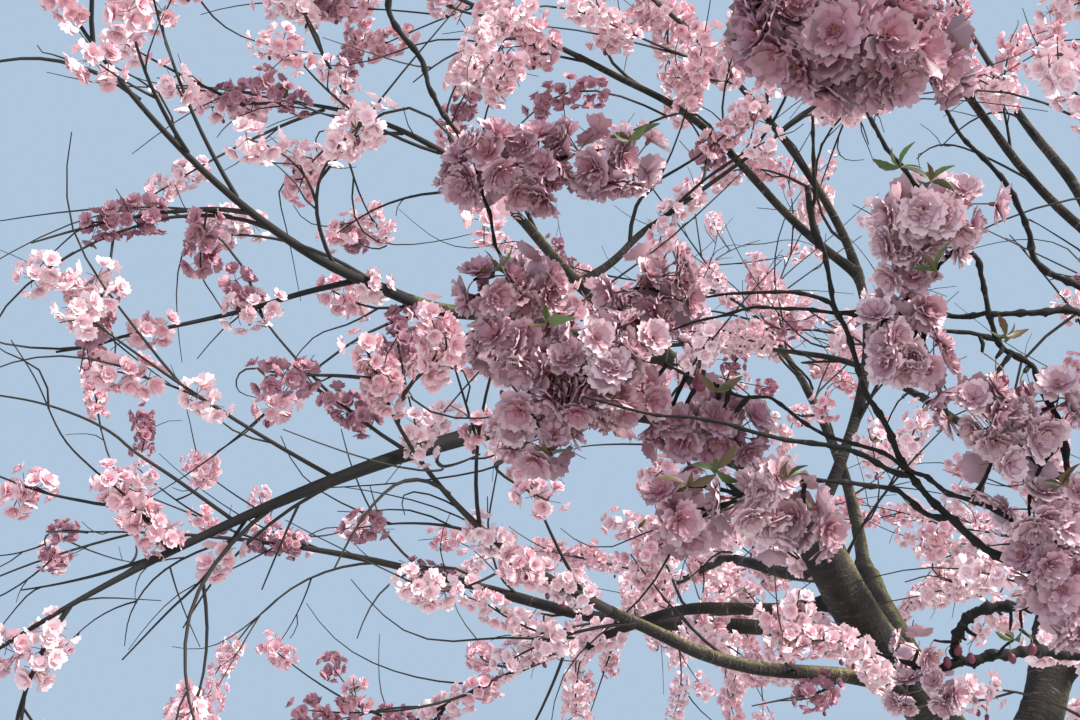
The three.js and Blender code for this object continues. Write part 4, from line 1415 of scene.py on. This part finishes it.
@functools.lru_cache(maxsize=1)
def open_blossoms(width, stalk):
    """Every open blossom: throat, axis, foot of its stalk, mass, tone, detail, size and spin."""
    chance = np.random.default_rng(SEEDS["blossom"])
    far_rows = far_flowers(chance)
    feet, ways, masses, tones = (np.array(column) for column in zip(*far_rows, *near_flowers(chance)))
    near = np.arange(len(feet)) >= len(far_rows)
    lengths = stalk * chance.uniform(0.75, 1.2, len(feet)) * np.where(near, NEAR_STALKS, 1)
    throats = feet + ways * lengths[:, None]
    axes = units(ways + chance.normal(scale=0.2, size=ways.shape))
    inside, far = in_picture(throats)
    detail = np.where(inside & (far < NEAR_REACH), 0, np.where(inside & (far < MIDDLE_REACH), 1, 2))
    turned_away = (axes * units(EYE - throats)).sum(axis=1) < TURNED_AWAY
    detail = np.where(near, np.where(turned_away, 1, 0), detail)
    sizes = width * chance.uniform(0.86, 1.1, len(feet)) * np.where(near, NEAR_GROWTH, 1)
    sizes[detail == 2] *= np.where(inside, FAR_GROWTH, OUTSIDE_GROWTH)[detail == 2]
    spins = chance.uniform(0, 2 * math.pi, len(feet))
    found = {"feet": feet, "throats": throats, "axes": axes, "masses": masses, "tones": tones,
             "detail": detail, "sizes": sizes, "spins": spins}
    free = in_box(throats, 0.02)
    return {key: column[free] for key, column in found.items()}


def blossom_pieces(width, stalk, finishes):
    """One joined piece of petals for each part of the crown."""
    found = open_blossoms(width, stalk)
    shapes = [[rule(seed) for seed in SHAPE_SEEDS] for rule in (full_blossom, middle_blossom, far_blossom)]
    for name, members in BLOSSOM_PIECES.items():
        joined = Joined()
        mine = np.isin(found["masses"], members)
        for detail, variants in enumerate(shapes):
            for index, shape in enumerate(variants):
                pick = np.flatnonzero(mine & (found["detail"] == detail))[index::len(variants)]
                if not len(pick):
                    continue
                turns = facing(found["axes"][pick], found["spins"][pick])
                rows = TONES[found["tones"][pick]]
                add_copies(joined, shape, found["throats"][pick], turns, found["sizes"][pick], rows)
        nodes = ["blossom_" + member for member in members]
        joined.piece(name, finishes, nodes, "blossom", smooth=name in ("petals_near", "petals_front"))


def stalks_piece(width, stalk, finish):
    """Stalks and cups of the blossoms that stand near enough to show them."""
    found, joined = open_blossoms(width, stalk), Joined()
    for detail, (sides, rings, cup) in enumerate(STALK_SHAPES):
        pick = np.flatnonzero(found["detail"] == detail)
        throats, axes, feet, sizes = (found[key][pick] for key in ("throats", "axes", "feet", "sizes"))
        ends = throats - axes * sizes[:, None] * CUP_DEPTH
        add_stalks(joined, feet, (feet + ends) / 2 - axes * 0.006, ends, STALK_RADIUS, sides, rings, 0)
        if cup:
            turns = facing(axes, found["spins"][pick])
            add_copies(joined, calyx(cup), throats, turns, sizes, np.zeros((len(pick), 1), int))
    joined.piece("flower_stalks", [finish], (), "blossom")


def buds_piece(size, finishes):
    """Hanging buds on curved stalks."""
    chance, joined = np.random.default_rng(SEEDS["buds"]), Joined()
    rows = [(placed(*row[:3]), NEAR_HANG * row[3] * MM, 0) for row in NEAR_BUDS]
    for point, *_ in spur_rows():
        if chance.random() < BUD_SHARE:
            rows.append((point, chance.uniform(*BUD_HANGS), 1))
    points, hangs, detail = (np.array(column) for column in zip(*rows))
    out = chance.normal(size=(len(points), 3)) * 0.008
    ends = points + out - UP * hangs[:, None]
    ways = -UP + chance.normal(scale=0.25, size=ends.shape)
    sizes = size * chance.uniform(0.75, 1.1, len(points))
    for level, (shape, rings) in enumerate(((bud_shape(6, 9), 4), (bud_shape(3, 4), 2))):
        pick = np.flatnonzero(detail == level)
        turns = facing(ways[pick], chance.uniform(0, 6.28, len(pick)))
        add_copies(joined, shape, ends[pick], turns, sizes[pick], np.zeros((len(pick), 1), int))
        middles = (points + ends)[pick] / 2 + out[pick] * 0.8
        add_stalks(joined, points[pick], middles, ends[pick], BUD_STALK_RADIUS, 3, rings, 1)
    joined.piece("flower_buds", finishes, (), "blossom", smooth=True)


def leaves_piece(length, finishes):
    """Small tufts of young leaves at the ends of some spurs."""
    chance, joined = np.random.default_rng(SEEDS["leaves"]), Joined()
    rows = [(placed(across, down, far - LEAF_SPACE), count + NEAR_EXTRA, 0)
            for across, down, far, count in NEAR_LEAVES]
    for point, *_ in spur_rows():
        if chance.random() < LEAF_SHARE:
            rows.append((point, int(chance.integers(2, 5)), 1))
    for level, shape in enumerate((leaf_shape(9), leaf_shape(4))):
        places, ways = [], []
        for point, count, detail in rows:
            if detail != level:
                continue
            start = chance.uniform(0, 6.28)
            for index in range(count):
                angle = start + index * LEAF_TURN
                out = np.array([math.cos(angle), math.sin(angle), 0]) * chance.uniform(0.6, 1.2)
                places.append(point), ways.append(unit(out + UP * chance.uniform(-0.2, 0.9)))
        turns = facing(np.array(ways), chance.uniform(0, 6.28, len(ways)))[:, :, [2, 0, 1]]
        sizes = length * chance.uniform(0.45, 1.1, len(ways))
        slots = chance.integers(len(finishes), size=(len(ways), 1))
        add_copies(joined, shape, np.array(places), turns, sizes, slots)
    joined.piece("young_leaves", finishes, (), "blossom", smooth=True)


# Finishes

# Noise of the bark, as scale and detail, how rings of pores are drawn out, and the way towards the key light
# where moss and painted sunlight go
PATCH_NOISE, RING_NOISE, GRAIN_NOISE = (9.0, 4.0), (26.0, 3.0), (160.0, 3.0)
RING_STRETCH = (1.0, 1.0, 5.0)
MOSS_AND_SUNLIGHT_FACES = (0.8, -0.1, 0.6)
# Plain colours of small parts
BARK_SCAR, TWIG_SCAR = (0.17, 0.13, 0.1), (0.07, 0.052, 0.042)
FILAMENT_PINK, ANTHER_OCHRE = (0.8, 0.4, 0.4), (0.5, 0.25, 0.06)
FLOWER_STALK, BUD_STALK = (0.22, 0.1, 0.075), (0.2, 0.12, 0.05)
PETAL_ROUGHNESS = 0.6
# Petals from the deepest colour to the palest, and darker copies that paint the shade of the shaded clusters,
# then a darkening for painted deep shade
LIT_PETALS = (("deep", 0.0), ("rose", 0.3), ("pink", 0.52), ("light", 0.76), ("pale", 1.0))
SHADED_PETALS = (("throat", 0.25), ("rose", 0.55), ("pink", 0.8), ("pale", 1.0))
DEEP_SHADE_DARKENING = 0.55
EDGE_SHARE = 0.55


class Wire:
    """A socket of a finish's nodes that takes part in sums as a number does."""

    def __init__(self, finish, socket):
        self.finish, self.socket = finish, socket

    def maths(self, operation, first, second):
        return self.finish.node("ShaderNodeMath", {"operation": operation}, {0: first, 1: second})

    def __add__(self, other):
        return self.maths("ADD", self, other)

    def __radd__(self, other):
        return self.maths("ADD", other, self)

    def __sub__(self, other):
        return self.maths("SUBTRACT", self, other)

    def __rsub__(self, other):
        return self.maths("SUBTRACT", other, self)

    def __mul__(self, other):
        return self.maths("MULTIPLY", self, other)

    def __rmul__(self, other):
        return self.maths("MULTIPLY", other, self)


class Finish:
    """A material and its nodes."""

    def __init__(self, name, colour, roughness, **sockets):
        self.material = bpy.data.materials.new(name)
        self.material.use_nodes = True
        self.material.diffuse_color = (*colour, 1)
        self.tree = self.material.node_tree
        self.shader = next(node for node in self.tree.nodes if node.type == "BSDF_PRINCIPLED")
        self.shader.inputs["Base Color"].default_value = (*colour, 1)
        self.shader.inputs["Roughness"].default_value = roughness
        for socket, value in sockets.items():
            self.shader.inputs[socket.replace("_", " ")].default_value = value

    def feed(self, socket, value):
        """Put a value on a socket, or link a wire to it."""
        if isinstance(value, Wire):
            self.tree.links.new(value.socket, socket)
        elif isinstance(value, tuple) and len(value) == 3 and socket.type == "RGBA":
            socket.default_value = (*value, 1)
        else:
            socket.default_value = value

    def node(self, kind, settings=None, inputs=None, output=0):
        """A node with its settings, then its sockets, by name or place."""
        made = self.tree.nodes.new(kind)
        for key, value in (settings or {}).items():
            setattr(made, key, value)
        for key, value in (inputs or {}).items():
            self.feed(made.inputs[key], value)
        return Wire(self, made.outputs[output])

    def mixed(self, share, first, second):
        """Between two colours."""
        return self.node("ShaderNodeMix", {"data_type": "RGBA"}, {0: share, 6: first, 7: second}, 2)

    def stretched(self, place, scale):
        """A place with each direction scaled."""
        return self.node("ShaderNodeVectorMath", {"operation": "MULTIPLY"}, {0: place, 1: scale})

    def noise(self, place, scale, detail=3.0):
        return self.node("ShaderNodeTexNoise", {}, {"Vector": place, "Scale": scale, "Detail": detail})

    def step(self, value, low, high):
        """0 below low, 1 above high, even between."""
        return self.node("ShaderNodeMapRange", {"interpolation_type": "SMOOTHSTEP"},
                         {"Value": value, "From Min": low, "From Max": high})

    def set(self, socket, value):
        self.feed(self.shader.inputs[socket], value)


def bark_finish(name, dark, pale, scar, moss_and_sunlight, moss_and_sunlight_share, relief_size):
    """Bark with pores in rings, pale scars, and moss that also paints sunlight on what faces up to the light.
    """
    made = Finish(name, dark, 0.85)
    place = made.node("ShaderNodeAttribute", {"attribute_name": BARK_PLACE}, output=1)
    patches = made.noise(place, *PATCH_NOISE)
    rings = made.noise(made.stretched(place, RING_STRETCH), *RING_NOISE)
    grain = made.noise(place, *GRAIN_NOISE)
    blotched = made.mixed(made.step(patches, 0.36, 0.66), dark, pale)
    scarred = made.mixed(made.step(rings, 0.6, 0.7) * made.step(patches, 0.4, 0.6) * 0.8, blotched, scar)
    facing = made.node("ShaderNodeVectorMath", {"operation": "DOT_PRODUCT"},
                       {0: made.node("ShaderNodeNewGeometry", output=1), 1: MOSS_AND_SUNLIGHT_FACES}, 1)
    # Moss mixed with painted sunlight: the side facing the key light is made yellow-green
    moss_and_sunlight_mask = made.step(facing + patches * 1.1, 1.0, 1.5) * made.step(grain, 0.34, 0.56) * moss_and_sunlight_share
    made.set("Base Color", made.mixed(moss_and_sunlight_mask, scarred, moss_and_sunlight))
    made.set("Roughness", 0.95 - made.step(rings, 0.55, 0.7) * 0.25)
    bump = {"Strength": 1.0, "Distance": relief_size, "Height": rings * 0.6 + grain * 0.4}
    made.set("Normal", made.node("ShaderNodeBump", {}, bump))
    return made.material


def plain_finish(name, colour, roughness, **sockets):
    return Finish(name, tuple(colour), roughness, **sockets).material


def shade(colour, factor):
    return tuple(min(max(part * factor, 0), 1) for part in colour)


def between(first, second, share):
    return tuple(a + (b - a) * share for a, b in zip(first, second))


def blossom_finishes(wanted):
    """Sunlit petals from rose to pale, filaments and anthers, then darker petals of the shaded clusters in
    painted shade.
    """
    rows = [("petal_" + name, between(wanted.deep, wanted.pale, share)) for name, share in LIT_PETALS]
    rows += [("filament", FILAMENT_PINK), ("anther", ANTHER_OCHRE)]
    rows += [("shaded_" + name, between(wanted.throat, wanted.mauve, share)) for name, share in SHADED_PETALS]
    rows += [("painted_deep_shade", shade(wanted.mauve, DEEP_SHADE_DARKENING)),
             ("shaded_edge", between(wanted.mauve, wanted.pale, EDGE_SHARE))]
    return [plain_finish(name, colour, 0.7 if name == "anther" else PETAL_ROUGHNESS) for name, colour in rows]


# Settings


def colour_setting(name, description, default):
    return FloatVectorProperty(name=name, description=description, default=default, subtype="COLOR",
                               min=0, max=1)


def length_setting(name, description, default, low, high):
    return FloatProperty(name=name, description=description, default=default, unit="LENGTH",
                         min=low, max=high)


def strength_setting(name, description, default, most=10):
    return FloatProperty(name=name, description=description, default=default, min=0, soft_max=most)


class BarkSettings(bpy.types.PropertyGroup):
    dark: colour_setting("Dark bark", "Colour of the bark in its hollows", (0.01, 0.008, 0.007))
    pale: colour_setting("Weathered bark", "Colour of the bark where it is weathered", (0.042, 0.033, 0.027))
    # The moss colour also serves as painted sunlight on the lit side of the limbs
    moss_and_sunlight: colour_setting("Moss", "Colour of the moss on the side towards the light", (0.23, 0.2, 0.09))
    moss_and_sunlight_share: FloatProperty(name="Moss cover", description="How much of the lit side the moss covers",
                              subtype="FACTOR", default=0.85, min=0, max=1)


class BlossomSettings(bpy.types.PropertyGroup):
    width: length_setting("Flower width", "Across one open flower", 0.037, 0.02, 0.06)
    stalk: length_setting("Stalk", "From the twig to the flower's throat", 0.027, 0.01, 0.06)
    bud: length_setting("Bud width", "Across one closed bud", 0.0115, 0.005, 0.03)
    deep: colour_setting("Deep rose", "Colour of the petals at the heart of a cluster", (0.7, 0.2, 0.28))
    pale: colour_setting("Pale pink", "Colour of the palest outer petals", (0.98, 0.765, 0.8))
    # Throat and mauve are darkened petal colours: painted shade of the shaded clusters
    throat: colour_setting("Throat", "Colour of the throats in the shaded clusters", (0.36, 0.075, 0.14))
    mauve: colour_setting("Mauve pink", "Colour of outer petals in the shaded clusters", (0.6, 0.39, 0.44))
    bud_colour: colour_setting("Bud crimson", "Colour of the closed buds", (0.17, 0.03, 0.06))


class LeafSettings(bpy.types.PropertyGroup):
    length: length_setting("Leaf length", "From the stalk to the tip of a young leaf", 0.03, 0.01, 0.1)
    green: colour_setting("Leaf green", "Colour of the greener young leaves", (0.075, 0.105, 0.03))
    bronze: colour_setting("Leaf bronze", "Colour of the youngest leaves", (0.12, 0.075, 0.03))


class StageSettings(bpy.types.PropertyGroup):
    floor: colour_setting("Floor", "Colour of the floor", (0.45, 0.45, 0.44))
    surround: colour_setting("Surround", "Colour of the soft light from all sides", (0.56, 0.73, 0.93))
    surround_strength: strength_setting(
        "Surround strength", "Brightness of the soft light from all sides", 0.78, 3)
    sun: strength_setting("Key light", "Brightness of the soft light from above", 6.8)
    fill: strength_setting("Fill light", "Brightness of the softer light from the eye's side", 1.0)


class TreeSettings(bpy.types.PropertyGroup):
    bark: PointerProperty(type=BarkSettings)
    blossom: PointerProperty(type=BlossomSettings)
    leaves: PointerProperty(type=LeafSettings)
    stage: PointerProperty(type=StageSettings)


# Operators


class CHERRY_OT_bark(bpy.types.Operator):
    """Cover trunk, limbs and boughs with bark that swells at their forks"""

    bl_idname = "cherry.bark"
    bl_label = "Trunk and boughs"

    def execute(self, context):
        wanted = context.scene.cherry.bark
        colours = (tuple(wanted.dark), tuple(wanted.pale), BARK_SCAR, tuple(wanted.moss_and_sunlight))
        rugged = bark_finish("bark", *colours, wanted.moss_and_sunlight_share, 0.011)
        bark_piece("bark_trunk", ("trunk", "limb"), rugged)
        bark_piece("bark_boughs", ("bough",), rugged)
        return {"FINISHED"}


class CHERRY_OT_twigs(bpy.types.Operator):
    """Grow the twigs of every mass, and the knobbly ones nearest to the eye"""

    bl_idname = "cherry.twigs"
    bl_label = "Twigs"

    def execute(self, context):
        wanted = context.scene.cherry.bark
        colours = (shade(wanted.dark, 0.5), shade(wanted.pale, 0.32), TWIG_SCAR, tuple(wanted.moss_and_sunlight))
        near_twigs_piece(bark_finish("twig_bark", *colours, 0.1, 0.0012))
        twigs_piece([plain_finish("twig_dark", shade(wanted.dark, 1.3), 0.8),
                     plain_finish("twig_brown", shade(wanted.pale, 0.7), 0.8)])
        return {"FINISHED"}


class CHERRY_OT_blossom(bpy.types.Operator):
    """Open the blossom in clusters along the twigs, on stalks where they show"""

    bl_idname = "cherry.blossom"
    bl_label = "Blossom"

    def execute(self, context):
        wanted = context.scene.cherry.blossom
        blossom_pieces(wanted.width, wanted.stalk, blossom_finishes(wanted))
        stalks_piece(wanted.width, wanted.stalk, plain_finish("stalk", FLOWER_STALK, 0.6))
        return {"FINISHED"}


class CHERRY_OT_buds_and_leaves(bpy.types.Operator):
    """Hang closed buds on curved stalks, and set tufts of young leaves"""

    bl_idname = "cherry.buds_and_leaves"
    bl_label = "Buds and young leaves"

    def execute(self, context):
        blossom, leaves = context.scene.cherry.blossom, context.scene.cherry.leaves
        buds_piece(blossom.bud, [plain_finish("bud", blossom.bud_colour, 0.45),
                                 plain_finish("bud_stalk", BUD_STALK, 0.6)])
        leaves_piece(leaves.length, [plain_finish("leaf_green", leaves.green, 0.5),
                                     plain_finish("leaf_bronze", leaves.bronze, 0.5),
                                     plain_finish("leaf_light", shade(leaves.green, 1.8), 0.5)])
        return {"FINISHED"}


class CHERRY_OT_stage(bpy.types.Operator):
    """Set the eye under the edge of the crown, a pale floor and soft light"""

    bl_idname = "cherry.stage"
    bl_label = "Stage"

    def execute(self, context):
        wanted, scene = context.scene.cherry.stage, context.scene
        eye = bpy.data.cameras.new("eye")
        eye.lens, eye.sensor_width = LENS, SENSOR
        holder = bpy.data.objects.new("eye", eye)
        holder.location = EYE
        holder.rotation_euler = (math.radians(90 + EYE_PITCH), 0, 0)
        scene.collection.objects.link(holder)
        scene.camera = holder

        lamps = (("key", wanted.sun, 16, (1.0, 0.95, 0.88), KEY_FROM),
                 ("fill", wanted.fill, 70, (0.9, 0.94, 1.0), FILL_FROM))
        for name, energy, width, colour, source in lamps:
            light = bpy.data.lights.new(name, "SUN")
            light.energy, light.angle, light.color = energy, math.radians(width), colour
            lamp = bpy.data.objects.new(name, light)
            lamp.rotation_euler = Vector(source).to_track_quat("Z", "Y").to_euler()
            scene.collection.objects.link(lamp)

        mesh = bpy.data.meshes.new("floor")
        half = FLOOR_SIDE / 2
        corners = [(-half, -half, 0), (half, -half, 0), (half, half, 0), (-half, half, 0)]
        mesh.from_pydata(corners, [], [(0, 1, 2, 3)])
        mesh.materials.append(plain_finish("floor", wanted.floor, 1.0, Specular_IOR_Level=0.0))
        floor = bpy.data.objects.new("floor", mesh)
        scene.collection.objects.link(floor)

        world = bpy.data.worlds.new("surround")
        world.use_nodes = True
        surround = world.node_tree.nodes["Background"]
        surround.inputs["Color"].default_value = (*wanted.surround, 1)
        surround.inputs["Strength"].default_value = wanted.surround_strength
        scene.world = world
        scene.view_settings.view_transform = "Standard"
        return {"FINISHED"}


class CHERRY_PT_tree(bpy.types.Panel):
    """Settings and steps of the cherry tree"""

    bl_idname = "CHERRY_PT_tree"
    bl_label = "Blossoming cherry"
    bl_space_type = "VIEW_3D"
    bl_region_type = "UI"
    bl_category = "Cherry tree"

    def draw(self, context):
        layout = self.layout
        for name in ("bark", "blossom", "leaves", "stage"):
            group = getattr(context.scene.cherry, name)
            box = layout.box()
            for key in group.__annotations__:
                box.prop(group, key)
        for step in STEPS:
            layout.operator(step.bl_idname)


STEPS = (CHERRY_OT_bark, CHERRY_OT_twigs, CHERRY_OT_blossom, CHERRY_OT_buds_and_leaves, CHERRY_OT_stage)
GROUPS = (BarkSettings, BlossomSettings, LeafSettings, StageSettings, TreeSettings)


def register():
    for group in (*GROUPS, *STEPS, CHERRY_PT_tree):
        bpy.utils.register_class(group)
    bpy.types.Scene.cherry = PointerProperty(type=TreeSettings)


def unregister():
    del bpy.types.Scene.cherry
    for group in (CHERRY_PT_tree, *reversed(STEPS), *reversed(GROUPS)):
        bpy.utils.unregister_class(group)


def main():
    register()
    for step in STEPS:
        family, name = step.bl_idname.split(".")
        getattr(getattr(bpy.ops, family), name)()


if __name__ == "__main__":
    main()
